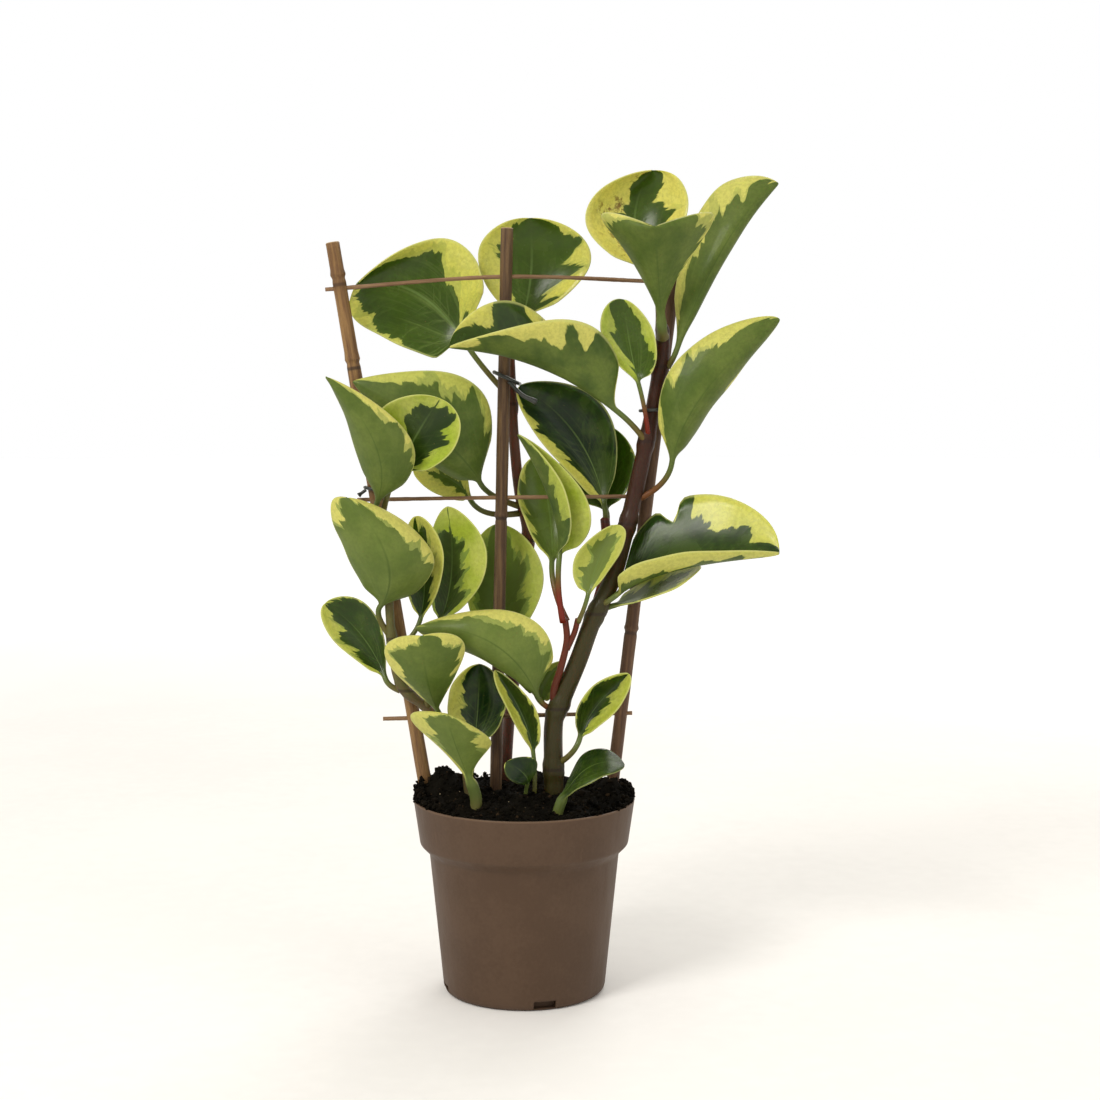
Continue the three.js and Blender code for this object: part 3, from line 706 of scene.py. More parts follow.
def joint_rings(height, joints):
    """0 away from the joints and 1 at each: the sum of their bells."""
    return sum(bell(height - joint, JOINT_WIDTH) for joint in joints)


def cane_part(foot, top, radius, joints, steps=90, sides=28):
    """A straight rod whose radius has a ring and a groove at each joint, two slow waves along
    it and seven faint flutes around it."""
    start, end = in_trellis(*foot), in_trellis(*top)
    length = np.linalg.norm(end - start)
    near_joints = [np.linspace(-4, 4, 17) + (joint - foot[1]) for joint in joints]
    along = np.sort(np.concatenate([np.linspace(0, length, steps), *near_joints]))
    along = np.clip(along, 0, length)
    height = start[2] + (end[2] - start[2]) * along / length
    width = radius + JOINT_SWELL * joint_rings(height, joints)
    width = width - CANE_GROOVE * joint_rings(height + GROOVE_BELOW, joints)
    width = width * (1 + 0.015 * np.sin(along / 17) + 0.01 * np.sin(along / 5.3))
    along = np.concatenate([along[:-1], [length - 0.5, length, length, length - 2]])
    width = np.concatenate([width[:-1], [radius, 0.9 * radius, 0.5 * radius, 0.4 * radius]])
    path = start + np.outer(along / length, end - start)
    heading = np.broadcast_to(unit(end - start), path.shape)
    flutes = 1 + 0.012 * np.sin(7 * np.arange(sides) * 2 * math.pi / sides)
    return rod(path, along, width[:, None] * flutes, sides, heading=heading)


def bar_part(points, steps=80, sides=12):
    """A rod along a smooth path, knobbly by random numbers and by a slow wave."""
    path, along = smooth_path([in_trellis(*point) for point in points], steps)
    knobs = draw.normal(0, 0.03, steps + 1)
    return rod(path, along, BAR_RADIUS * (1 + knobs + 0.05 * np.sin(along / 11)), sides)


CANE_LENGTHS = {place: float(np.linalg.norm(in_trellis(*cane["top"]) - in_trellis(*cane["foot"])))
                for place, cane in CANES.items()}
print("cane lengths:", CANE_LENGTHS)

# %% [markdown]
# Bamboo skin
#
# Dry bamboo is tan with darker streaks along it, and its joints are dark. The same material
# serves all three canes, and each is given its own light and dark tints, the middle cane's
# the darkest. The cut top shows pale wood.

# %% Give the trellis its bamboo


def bamboo(name, light, dark, seed, joints=(), foot=0.0, length=1000.0):
    """Streaks from light to dark, a dark ring just below each joint, and a pale cut top."""
    material, sketch, shader = new_material(name, {"Specular IOR Level": 0.4})
    marks = sketch.marks()
    along = sketch.parts(marks)[2]
    streaks = sketch.group(fibres, {"Place": marks, "Width": 1.6, "Seed": seed})
    grain = sketch.mix(streaks["Streaks"], light, dark)
    half_way = [(a + b) / 2 for a, b in zip(light, dark)]
    tint = sketch.stain(grain, streaks["Fine"], 0.45, half_way)
    ring = 0.0
    for joint in joints:
        away = sketch.calculate("ABSOLUTE", sketch.minus(along, joint - foot - 1.6))
        ring = sketch.larger(ring, sketch.step(away, 1.5, 0.4))
    tint = sketch.stain(tint, ring, 0.75, colour(44, 28, 18))
    blotch = sketch.step(sketch.noise(sketch.object_place(), 45.0, 3.0), 0.55, 0.7)
    tint = sketch.stain(tint, blotch, 0.35, dark)
    cut = sketch.step(along, length - 0.6, length - 0.2)
    tint = sketch.stain(tint, cut, 0.8, colour(196, 170, 128))
    roughness = sketch.line(streaks["Fine"], 0.0, 1.0, 0.42, 0.62)
    finish_material(sketch, shader, tint, roughness, streaks["Fine"], 0.12)
    return material


CANE_TINTS = {
    "left": (colour(146, 112, 66), colour(100, 68, 38)),
    "middle": (colour(112, 86, 54), colour(64, 42, 24)),
    "right": (colour(110, 80, 52), colour(74, 48, 30)),
}
for seed, (place, cane) in enumerate(CANES.items()):
    skin_of_cane = bamboo(f"bamboo_{place}", *CANE_TINTS[place], 3.0 * seed, cane["joints"],
                          cane["foot"][1], CANE_LENGTHS[place])
    make_piece(f"bamboo_cane_{place}", [cane_part(**cane)], skin_of_cane, f"cane_{place}")
bar_skin = bamboo("bamboo_bar", colour(150, 118, 84), colour(108, 76, 50), 11.0)
for place, points in BARS.items():
    make_piece(f"bamboo_bar_{place}", [bar_part(points)], bar_skin, f"bar_{place}")
print("canes and bars:", len(CANES), len(BARS))

# %% [markdown]
# The ties
#
# Three loops of dark coated wire hold the stems to the canes. Each loop is a circle pulled out
# into a stadium, so that it goes round both a stem and a cane, and a loose tail sticks out.

# %% Bend the ties
TIE_WIRE = 0.9
TIES = {
    "left": dict(at=(-80.7, 6, 272.5), reach=(0, 0), radius=5.2, tilt=8,
                 tail=((-85, 3, 272), (-89, 2, 269))),
    "middle": dict(at=(-9.3, 16.2, 332), reach=(1, 12), radius=6.9, tilt=25, wire=1.1,
                   tail=((-8, 4, 330), (-1, 2, 323), (7, 1, 319))),
    "right": dict(at=(70.5, 8.4, 315), reach=(4, 10), radius=6.2, tilt=-4,
                  tail=((77, 6, 314), (82, 6, 311), (87, 6, 309), (92, 5, 310))),
}


def loop_part(at, reach, radius, tilt, wire, steps=72, sides=10):
    """A ring of wire: radius (cos b, sin b) moved half the reach to the side that it faces,
    turned about the back axis. Its two ends meet, so it is a skin that closes on itself."""
    turn = np.arange(steps) * 2 * math.pi / steps
    circle = np.stack([np.cos(turn), np.sin(turn), 0 * turn], axis=-1)
    side = np.where(circle[:, :2] @ np.array(reach) > 0, 0.5, -0.5)[:, None]
    centre = radius * circle + side * np.array([*reach, 0])
    angle = np.arange(sides) * 2 * math.pi / sides
    outward, upward = np.cos(angle)[None, :, None], np.sin(angle)[None, :, None]
    rings = centre[:, None] + wire * (outward * circle[:, None] + upward * np.array(UP))
    cosine, sine = math.cos(math.radians(tilt)), math.sin(math.radians(tilt))
    tipping = np.array([[cosine, 0, -sine], [0, 1, 0], [sine, 0, cosine]])
    points = rings.reshape(-1, 3) @ tipping + np.array(at)
    ring, place = np.meshgrid(np.arange(steps), np.arange(sides), indexing="ij")
    here, beside = ring * sides + place, ring * sides + (place + 1) % sides
    ahead, diagonal = [((ring + 1) % steps) * sides + way for way in (place, (place + 1) % sides)]
    faces = np.stack([here, ahead, diagonal, beside], axis=-1).reshape(-1, 4).tolist()
    marks = np.stack([np.broadcast_to(turn[:, None] * radius, ring.shape), place, place], axis=-1)
    return points, faces, marks.reshape(-1, 3).astype(float)


def tail_part(points, wire, steps=30, sides=12):
    """A wire that swells along its last two fifths and ends in a rounded tip."""
    path, along = smooth_path(points, steps)
    way = along / along[-1]
    swell = wire + 0.55 * ease((way - 0.6) / 0.4)
    rounding = np.sqrt(np.clip((1.02 - way) / 0.05, 0.15, 1))
    return rod(path, along, swell * rounding, sides)


def coated_wire():
    """Black-green plastic skin, slightly uneven, with a paler bloom of dust."""
    material, sketch, shader = new_material("coated_wire", {"Coat Weight": 0.35, "Coat Roughness": 0.2})
    place = sketch.object_place()
    tones = {"Vector": place, "Scale": 150.0, "Amount": 0.7,
             "Light": colour(44, 48, 42), "Dark": colour(16, 19, 17)}
    body = sketch.group(mottle, tones)
    roughness = sketch.line(body["Height"], 0.3, 0.7, 0.28, 0.5)
    finish_material(sketch, shader, body["Color"], roughness, body["Height"], 0.1)
    return material


wire_skin = coated_wire()
for place, tie in TIES.items():
    wire = tie.get("wire", TIE_WIRE)
    loop = loop_part(tie["at"], tie["reach"], tie["radius"], tie["tilt"], wire)
    make_piece(f"wire_{place}", [loop, tail_part(tie["tail"], wire)], wire_skin, f"tie_{place}")
print("ties:", len(TIES))

# %% [markdown]
# The stems
#
# The stems are thick, smooth and fleshy, and swell at each joint where leaves once grew. The
# main one starts under the soil, leans to the right cane and carries three side shoots. Each
# is a rod that tapers, with a swelling at every joint and a thin scar line in its middle. A
# side shoot's marks start at SHOOT_MARK, so that the skin can tell it from the stem itself.

# %% Grow the stems
STEMS = {
    "right": dict(
        path=((15, -6, 60), (16, -6, 110), (16, -6, 146), (20, -6, 159), (29, -5, 180), (37, -4, 202),
              (48, -2, 226), (55, 0, 251), (60, 2, 272), (66, 3, 299), (70, 3, 320), (74, 3, 346),
              (74, 3, 361)),
        radius=(5.6, 3.8), joints=(122, 155, 206, 254, 298, 338),
        shoots=(
            dict(path=((17, -6, 153), (16, -8, 164), (20, -10, 178), (23, -9, 192), (22, -8, 204)),
                 radius=(2.1, 1.7)),
            dict(path=((23, -9, 187), (27, -9, 196), (29, -10, 204)), radius=(1.6, 1.5)),
            dict(path=((38, -3, 206), (44, 4, 228), (45, 12, 242), (44, 19, 256)), radius=(3, 2.6)),
        ),
    ),
    "middle": dict(
        path=((-12, 30, 60), (-11, 30, 111), (-7, 30, 165), (-2, 31, 209), (2, 28, 243),
              (-3, 24, 271), (-6, 23, 304), (-8, 23, 345)),
        radius=(3.6, 2.7), joints=(165, 243, 318),
    ),
    "left": dict(
        path=((-26, -9, 60), (-30, -6, 112), (-33, -5, 132), (-42, -5, 146), (-55, -2, 156),
              (-67, -2, 168), (-71, -2, 190), (-73, -2, 217), (-75, -2, 238), (-76, -2, 256)),
        radius=(3, 2.2), joints=(138, 164, 192, 236),
    ),
}
SHOOT_MARK = 1000
NO_JOINT_NEAR = 99


def stem_parts(path, radius, joints=(), shoots=(), first_mark=0, sides=24):
    """Rods whose radius is its taper plus, at each joint, a swelling less its scar's bell."""
    places, along = smooth_path(path, max(24, len(path) * 14))
    way = along / along[-1]
    height = places[:, 2:]
    near = np.min([*[np.abs(height[:, 0] - joint) for joint in joints], 0 * along + NO_JOINT_NEAR], axis=0)
    swell = 0.8 * (1 - ease((near - 2) / 5)) - 0.25 * bell(near, 0.9)
    width = radius[0] + (radius[1] - radius[0]) * way + swell
    rounded_top = np.sqrt(np.clip((1.004 - way) / 0.012, 0.1, 1))
    angle = np.arange(sides) * 2 * math.pi / sides
    uneven = 1 + 0.02 * np.sin(3 * angle + height / 9) + 0.012 * np.sin(5 * angle - height / 5)
    parts = [rod(places, along + first_mark, (width * rounded_top)[:, None] * uneven, sides)]
    for shoot in shoots:
        parts += stem_parts(**shoot, first_mark=SHOOT_MARK)
    return parts

# %% [markdown]
# Stem skin
#
# The main stem is dark maroon near its top and dark green with brown below, and it has a
# moist sheen. Its side shoots are red. Height chooses between the stem's two tints, the marks
# from SHOOT_MARK on choose the red, and the shared fibres add fine lines along all of them.

# %% Give the stems their skin


def stem_skin(name, low, high, change, joints):
    """Two tints that change over at a height, red side shoots, fine lines and dark scars."""
    constants = {"Specular IOR Level": 0.25, "Coat Weight": 0.08, "Coat Roughness": 0.12,
                 "Subsurface Weight": 0.05}
    material, sketch, shader = new_material(name, constants)
    marks = sketch.marks()
    up = sketch.parts(sketch.object_place())[2]
    streaks = sketch.group(fibres, {"Place": marks, "Width": 3.0, "Seed": 5.0})
    wandering = sketch.plus(up, sketch.sway(streaks["Streaks"], 0.03))
    level = sketch.step(wandering, (change - 25) * MM, (change + 25) * MM)
    body = sketch.mix(level, low, high)
    length = sketch.parts(marks)[2]
    shoot = sketch.step(length, SHOOT_MARK - 100, SHOOT_MARK)
    body = sketch.stain(body, shoot, 0.85, colour(92, 28, 14))
    lined = sketch.stain(body, streaks["Fine"], 0.25, colour(68, 54, 24))
    scar = 0.0
    for joint in joints:
        away = sketch.calculate("ABSOLUTE", sketch.minus(up, joint * MM))
        scar = sketch.larger(scar, sketch.step(away, 1.3 * MM, 0.4 * MM))
    tint = sketch.stain(lined, scar, 0.6, colour(34, 18, 12))
    roughness = sketch.line(streaks["Fine"], 0.0, 1.0, 0.3, 0.48)
    finish_material(sketch, shader, tint, roughness, streaks["Fine"], 0.1)
    return material


STEM_TINTS = {
    "right": (colour(48, 46, 12), colour(50, 20, 8), 240),
    "middle": (colour(72, 50, 34), colour(70, 48, 32), 200),
    "left": (colour(84, 76, 44), colour(92, 94, 50), 170),
}
for place, stem in STEMS.items():
    flesh = stem_skin(f"stem_skin_{place}", *STEM_TINTS[place], stem["joints"])
    make_piece(f"fleshy_stem_{place}", stem_parts(**stem), flesh, f"stem_{place}")
print("stems:", len(STEMS))

# %% [markdown]
# The leaves
#
# Each leaf is a stalk and a thick, cupped blade. A blade could be sculpted, but these follow
# one formula: the midrib is a parabola through the blade's base, middle and tip, its half
# width is sin(pi u^p)^blunt along the way u, and across, it is a second parabola through both
# edges. Six points and a few numbers then give any leaf on the plant. left and right name
# the edges as the upper face shows them with the tip up, because some leaves turn their
# backs to the front. roll twists a blade about its length, in degrees, and dip moves a short
# length of one margin: its side, its place along, its width and the move.
#
# The rest is for the pattern further down. green tells how far the green reaches from the
# midrib towards each edge, near the base and near the tip, and tip_rim draws it in at the
# tip. middling is how much of a middling green lies beyond it. cream, deep, pale, streaks,
# scorch, red and edge say how strong a tint is, from 0 for none at all. deep darkens the
# green heart: partly the leaf's own darker green, and partly painted shade on leaves that
# lie in shade, such as shaded_large.

# %% List the leaves
LEAVES = {
    "top_back": dict(
        root=(72, 4, 357), base=(67, 5, 388), middle=(60, 20, 421), tip=(69, 15, 443),
        left=(33, 4, 419), right=(87, 4, 421), widest=0.55, blunt=0.5,
        green=(0.35, 0.4, 0.8, 0.5), cream=0.9, tip_rim=0.0, seed=2, scorch=1.0, middling=0.2),
    "top_front": dict(
        root=(74, 0, 354), base=(73, -7, 360), middle=(68, -36, 402), tip=(67, -42, 408),
        left=(99, -22, 415), right=(41, -22, 415), widest=0.75, blunt=0.6, stalk=2.8,
        green=(1.1, 0.85, 1.05, 0.85), cream=0.75, tip_rim=0.4, seed=3),
    "top_right": dict(
        root=(77, 2, 338), base=(81, -3, 346), middle=(107, -8, 403), tip=(135, 4, 435),
        left=(112, 8, 405), right=(94, 8, 421), blunt=0.62, widest=0.5,
        green=(1.3, 1.2, 0.85, 0.5), cream=0.6, tip_rim=0.0, seed=4, middling=0.3),
    "top_left": dict(
        root=(-8, 23, 322), base=(-32, 22, 351), middle=(-62, 30, 380), tip=(-92, 24, 382),
        left=(-74, 19, 353), right=(-36, 19, 405), widest=0.52, blunt=0.38,
        green=(1.0, 0.8, 0.35, 0.8), cream=0.6, tip_rim=0.75, seed=5, streaks=1.3, middling=0.3),
    "top_middle": dict(
        root=(-8, 23, 342), base=(-1, 25, 364), middle=(4, 34, 396), tip=(3, 29, 419),
        left=(-25, 26, 398), right=(36, 22, 397), blunt=0.52,
        green=(0.6, 0.5, 0.6, 0.8), cream=0.65, tip_rim=0.0, seed=6, middling=0.3),
    "cup_middle": dict(
        root=(66, 1, 297), base=(50, -5, 314), middle=(8, -14, 338), tip=(-39, -14, 348),
        left=(27, -28, 361), right=(6, 3, 367), widest=0.5, blunt=0.56, roll=-75,
        green=(1.05, 0.85, 0.95, 1.0), cream=0.7, tip_rim=0.35, seed=41, red=0.4, deep=0.5, middling=0.1),
    "upright_small": dict(
        root=(67, 2, 299), base=(61, -5, 329), middle=(56, -3, 352), tip=(53, -8, 373),
        left=(41, -10, 357), right=(70, -10, 350), widest=0.55, blunt=0.55, stalk=1.2,
        green=(0.1, 0.85, 1.1, 0.4), cream=0.0, tip_rim=0.2, seed=8, red=1.0, middling=0.2),
    "right_upper": dict(
        root=(59, 2, 266), base=(79, -5, 287), middle=(95, -14, 324), tip=(135, -8, 363),
        left=(104, -1, 321), right=(80, -7, 339), widest=0.5,
        green=(1.2, 0.95, 0.85, 0.85), cream=0.6, tip_rim=0.3, seed=9, red=0.7, middling=0.4),
    "right_curled": dict(
        root=(40, -3, 210), base=(49, -9, 216), middle=(82, -13, 233), tip=(135, -20, 240),
        left=(84, 7, 267), right=(72, -33, 239), widest=0.47, roll=15, blunt=0.42,
        dip=(-1, 0.4, 0.055, (2, -5, -10)),
        green=(1.2, 0.45, 0.75, 0.5), cream=0.55, tip_rim=0.0, seed=10, deep=0.7, middling=0.1),
    "right_under": dict(
        root=(38, -3, 205), base=(48, -3, 210), middle=(70, -10, 219), tip=(94, -10, 232),
        left=(70, 4, 225), right=(76, -24, 220), widest=0.5,
        green=(0.7, 0.5, 0.9, 0.5), cream=0.6, tip_rim=0.5, seed=11, pale=0.4),
    "shaded_large": dict(
        root=(44, 19, 252), base=(44, 18, 261), middle=(25, 24, 305), tip=(-2, 14, 328),
        left=(10, 14, 297), right=(43, 18, 317),
        green=(0.65, 0.85, 1.25, 1.3), cream=0.6, tip_rim=0.0, seed=12, deep=1.0, edge=0.5, middling=0.2),
    "shaded_back": dict(
        root=(44, 20, 250), base=(45, 24, 259), middle=(41, 36, 285), tip=(42, 38, 307),
        left=(19, 28, 282), right=(61, 28, 286),
        green=(1.2, 1.0, 1.1, 0.95), cream=0.4, tip_rim=0.3, seed=13, deep=0.0, streaks=0.8),
    "narrow_back": dict(
        root=(23, -6, 202), base=(15, 7, 232), middle=(13, 24, 263), tip=(7, 22, 289),
        left=(-3, 16, 266), right=(31, 16, 265),
        green=(0.75, 1.0, 1.0, 1.1), cream=0.4, tip_rim=0.2, seed=14, red=0.8, deep=0.0, pale=0.25),
    "folded": dict(
        root=(21, -10, 202), base=(19, -9, 237), middle=(13, -5, 271), tip=(-3, -10, 302),
        left=(22, -17, 272), right=(34, -9, 266),
        green=(1.0, 0.9, 0.05, 0.2), cream=0.0, tip_rim=0.2, seed=15, red=1.0, deep=0.6, middling=0.3),
    "small_front": dict(
        root=(29, -10, 202), base=(34, -12, 216), middle=(41, -10, 239), tip=(47, -14, 254),
        left=(27, -16, 236), right=(53, -16, 244), stalk=1.2,
        green=(0.6, 0.4, 0.7, 0.4), cream=0.5, tip_rim=0.6, seed=16, pale=0.6, middling=0.9),
    "left_wide": dict(
        root=(-3, 24, 262), base=(-24, 16, 275), middle=(-44, -4, 300), tip=(-91, -1, 330),
        left=(-26, 6, 328), right=(-56, 8, 290), widest=0.45, blunt=0.85,
        green=(0.9, 0.65, 1.2, 0.95), cream=0.35, tip_rim=0.3, seed=17, middling=0.5),
    "left_round": dict(
        root=(-76, -2, 254), base=(-68, -7, 281), middle=(-56, -8, 303), tip=(-44, -14, 321),
        left=(-77, -15, 312), right=(-36, -16, 296), widest=0.5, blunt=0.5,
        green=(0.3, 0.6, 0.75, 0.75), cream=0.0, tip_rim=0.7, seed=18, deep=0.7, middling=0.2),
    "left_pointed": dict(
        root=(-75, -2, 246), base=(-78, -8, 266), middle=(-76, -24, 294), tip=(-102, -28, 332),
        left=(-58, -18, 296), right=(-92, -18, 307), widest=0.45, blunt=0.75,
        green=(1.2, 0.75, 1.3, 1.1), cream=0.75, tip_rim=0.0, seed=19, pale=0.1),
    "left_khaki": dict(
        root=(-3, 25, 258), base=(-30, 24, 266), middle=(-44, 28, 278), tip=(-61, 24, 282),
        left=(-46, 22, 268), right=(-41, 26, 292),
        green=(0.5, 0.2, 0.2, 0.1), cream=1.0, tip_rim=0.3, seed=20, pale=0.3, middling=0.3),
    "left_middle": dict(
        root=(-71, -2, 192), base=(-77, -6, 210), middle=(-73, -25, 242), tip=(-92, -22, 269),
        left=(-49, -14, 240), right=(-98, -13, 248), blunt=0.5,
        green=(1.1, 0.6, 1.1, 0.85), cream=0.75, tip_rim=0.5, seed=21, middling=0.8, pale=0.2),
    "left_edge": dict(
        root=(-70, -2, 186), base=(-56, 0, 202), middle=(-54, 2, 230), tip=(-58, -2, 258),
        left=(-65, 0, 230), right=(-43, -9, 237), stalk=1.3,
        green=(0.9, 0.7, 0.6, 0.4), cream=0.5, tip_rim=0.3, seed=22, deep=0.6),
    "left_inner": dict(
        root=(-52, -3, 154), base=(-46, 4, 199), middle=(-39, 8, 233), tip=(-41, 2, 263),
        left=(-52, 6, 233), right=(-20, 0, 234),
        green=(0.8, 0.4, 0.5, 0.2), cream=0.05, tip_rim=0.6, seed=23, deep=1.0, pale=0.15, middling=0.9),
    "behind_cane": dict(
        root=(-7, 30, 166), base=(-13, 23, 185), middle=(-11, 26, 222), tip=(-16, 24, 252),
        left=(-32, 19, 216), right=(10, 19, 225), blunt=0.5,
        green=(0.9, 0.6, 0.5, 0.45), cream=0.1, tip_rim=0.3, seed=24, deep=0.0, pale=0.45, middling=0.9),
    "left_low": dict(
        root=(-67, -2, 164), base=(-75, 0, 170), middle=(-91, 6, 196), tip=(-107, 0, 211),
        left=(-102, -3, 191), right=(-83, 2, 208),
        green=(0.8, 0.6, 1.2, 0.9), cream=0.35, tip_rim=0.5, seed=25, deep=0.5),
    "fan_left": dict(
        root=(-42, -5, 146), base=(-46, -11, 154), middle=(-52, -32, 185), tip=(-53, -37, 198),
        left=(-31, -27, 191), right=(-73, -25, 187), widest=0.75, blunt=0.5,
        green=(1.1, 0.8, 0.95, 0.65), cream=0.7, tip_rim=0.6, seed=26, middling=0.7, pale=0.15),
    "fan_wide": dict(
        root=(18, -6, 153), base=(7, -9, 162), middle=(-16, -22, 192), tip=(-57, -11, 199),
        left=(4, -14, 204), right=(-14, -13, 178), widest=0.48, blunt=0.5,
        green=(0.8, 0.6, 1.2, 0.9), cream=0.75, tip_rim=0.5, seed=27, red=0.8, middling=0.8, pale=0.25),
    "low_round": dict(
        root=(-31, 0, 92), base=(-27, -2, 134), middle=(-25, 3, 157), tip=(-24, -1, 178),
        left=(-41, -5, 158), right=(-10, -4, 156), widest=0.55, blunt=0.5, in_soil=True,
        green=(0.35, 0.6, 1.2, 1.2), cream=0.6, tip_rim=0.0, seed=28, deep=1.0, middling=0.6),
    "low_fan": dict(
        root=(-28, -30, 92), base=(-27, -27, 117), middle=(-38, -40, 151), tip=(-39, -44, 158),
        left=(-17, -30, 141), right=(-59, -30, 154), widest=0.74, blunt=0.58, stalk=3.2, in_soil=True,
        green=(1.0, 0.7, 0.6, 0.45), cream=0.6, tip_rim=0.3, seed=29, pale=0.25, middling=0.9),
    "low_narrow": dict(
        root=(3, -10, 92), base=(5, -9, 131), middle=(-3, -8, 156), tip=(-15, -10, 176),
        left=(-10, -14, 158), right=(6, -16, 156), stalk=1.2, in_soil=True,
        green=(0.2, 0.5, 0.95, 0.9), cream=0.4, tip_rim=0.3, seed=30, deep=0.7),
    "behind_stem": dict(
        root=(17, -4, 152), base=(10, 4, 157), middle=(12, 6, 167), tip=(20, 2, 179),
        left=(4, 2, 169), right=(18, 0, 164), stalk=1,
        green=(0.7, 0.5, 0.7, 0.5), cream=0.7, tip_rim=0.4, seed=31, pale=0.8),
    "low_right": dict(
        root=(17, -6, 124), base=(30, -9, 139), middle=(41, -4, 158), tip=(56, -9, 174),
        left=(33, -14, 164), right=(50, -14, 156),
        green=(1.1, 0.9, 0.4, 0.35), cream=0.2, tip_rim=0.1, seed=32, deep=0.7, middling=0.3),
    "front_right": dict(
        root=(19, -40, 90), base=(20, -38, 111), middle=(37, -38, 130), tip=(53, -32, 129),
        left=(36, -26, 136), right=(39, -48, 125), stalk=2.8, in_soil=True,
        green=(1.3, 1.2, 1.3, 1.2), cream=0.3, tip_rim=0.0, seed=33, deep=0.85, edge=0.3),
    "low_dark": dict(
        root=(2, -18, 92), base=(2, -18, 116), middle=(-1, -21, 123), tip=(-9, -23, 129),
        left=(-7, -26, 120), right=(6, -18, 129), stalk=1.1, in_soil=True,
        green=(1.2, 1.1, 1.2, 1.1), cream=0.3, tip_rim=0.0, seed=34, deep=1.0, edge=0.1),
}
print("leaves:", len(LEAVES))

# %% [markdown]
# One leaf, ring by ring
#
# A ring goes over the upper face from the left edge to the right one, round the right edge,
# back under the lower face and round the left edge. Near the stalk it blends into a circle.
# The finer blade also has what a plain solid lacks: a channel along the midrib, a keel below
# it, margins that thin out and wave a little. The marks are the way along, from -1 at the
# stalk's root through 0 to 1 at the tip, the way across from -1 to 1, and the side: 1 for the
# upper face, -1 for the lower one.

# %% Work out a leaf's surface
STALK_RADIUS = 1.5
BLADE_THICKNESS = 1.1
BLADE_OPENS = 0.15
WIDEST = 0.58
BLUNTNESS = 0.6
ACROSS = 17
BLADE_RINGS = 46
STALK_RINGS = 12
MARGIN_THINNING = 0.35
MARGIN_BULGE = 0.35
CHANNEL_DEPTH = 0.3
CHANNEL_WIDTH = 0.06
KEEL_DEPTH = 0.5
KEEL_WIDTH = 0.08


def midrib_at(u, base, middle, tip, widest):
    """The parabola through three points, as Lagrange's sum of each point times its share."""
    first = (u - widest) * (u - 1) / widest
    second = u * (u - 1) / (widest * (widest - 1))
    third = u * (u - widest) / (1 - widest)
    return first[..., None] * base + second[..., None] * middle + third[..., None] * tip


def turned_about(vector, axis, angle):
    """Rodrigues' turn: v cos a + (k x v) sin a + k (k . v) (1 - cos a)."""
    along = np.dot(axis, vector) * axis
    return (vector * np.cos(angle) + np.cross(axis, vector) * np.sin(angle)
            + along * (1 - np.cos(angle)))


def round_rings(centre, side, heading, radius):
    """Circles whose points match a blade ring's, from the left over the top to the right."""
    angle = math.pi * (1 - np.arange(1, 2 * ACROSS + 3) / (ACROSS + 1))
    normal = np.cross(side, heading)
    round_part = np.cos(angle)[:, None] * side[:, None] + np.sin(angle)[:, None] * normal[:, None]
    return centre[:, None] + radius * round_part


def blade_rings(u, v, face, leaf, wave):
    """midrib + (wide v + deep v^2) w + normal thickness / 2, where w is the outline's half
    width. The margins also ripple, by a sine of the way along times v^4."""
    widest, blunt = leaf.get("widest", WIDEST), leaf.get("blunt", BLUNTNESS)
    base, middle, tip, left, right = [np.array(leaf[key], float)
                                      for key in ("base", "middle", "tip", "left", "right")]
    spine = (base, middle, tip, widest)
    turn = np.radians(leaf.get("roll", 0)) * (u - widest)
    axis = unit(tip - base)
    wide = turned_about((right - left) / 2, axis, turn[:, None])
    deep = turned_about((right + left) / 2 - middle, axis, turn[:, None])
    width = np.sin(math.pi * u ** (math.log(0.5) / math.log(widest))) ** blunt
    heading = unit(midrib_at(u + 0.01, *spine) - midrib_at(u - 0.01, *spine))
    slope = wide[:, None] + 2 * v[:, None] * deep[:, None]
    normal = unit(np.cross(slope, heading[:, None]))
    outward = unit(slope) * np.sign(v)[:, None]
    lift = BLADE_THICKNESS / 2 * (1 - MARGIN_THINNING * v ** 4) * face
    lift = lift - CHANNEL_DEPTH * bell(v, CHANNEL_WIDTH) * (face > 0) * (1 - u[:, None])
    lift = lift - KEEL_DEPTH * bell(v, KEEL_WIDTH) * (face < 0) * (1 - u[:, None]) ** 0.5
    ripple = np.sin(2 * math.pi * (wave[0] * u[:, None] + wave[1]) + 1.5 * np.sign(v)) * v ** 4
    lift = lift + wave[2] * ripple * np.sin(math.pi * u[:, None])
    points = (midrib_at(u, *spine)[:, None] + (v * width[:, None])[..., None] * wide[:, None]
              + (v ** 2 * width[:, None])[..., None] * deep[:, None])
    bulge = MARGIN_BULGE * (1 - np.abs(face))
    points = points + lift[..., None] * normal + bulge[..., None] * outward
    if "dip" in leaf:
        dipped_side, place, reach, move = leaf["dip"]
        dip = bell(u[:, None] - place, reach) * v ** 4 * (v * dipped_side > 0)
        points = points + dip[..., None] * np.array(move, float)
    side = unit(wide - (wide * heading).sum(axis=1, keepdims=True) * heading)
    return points, side, heading


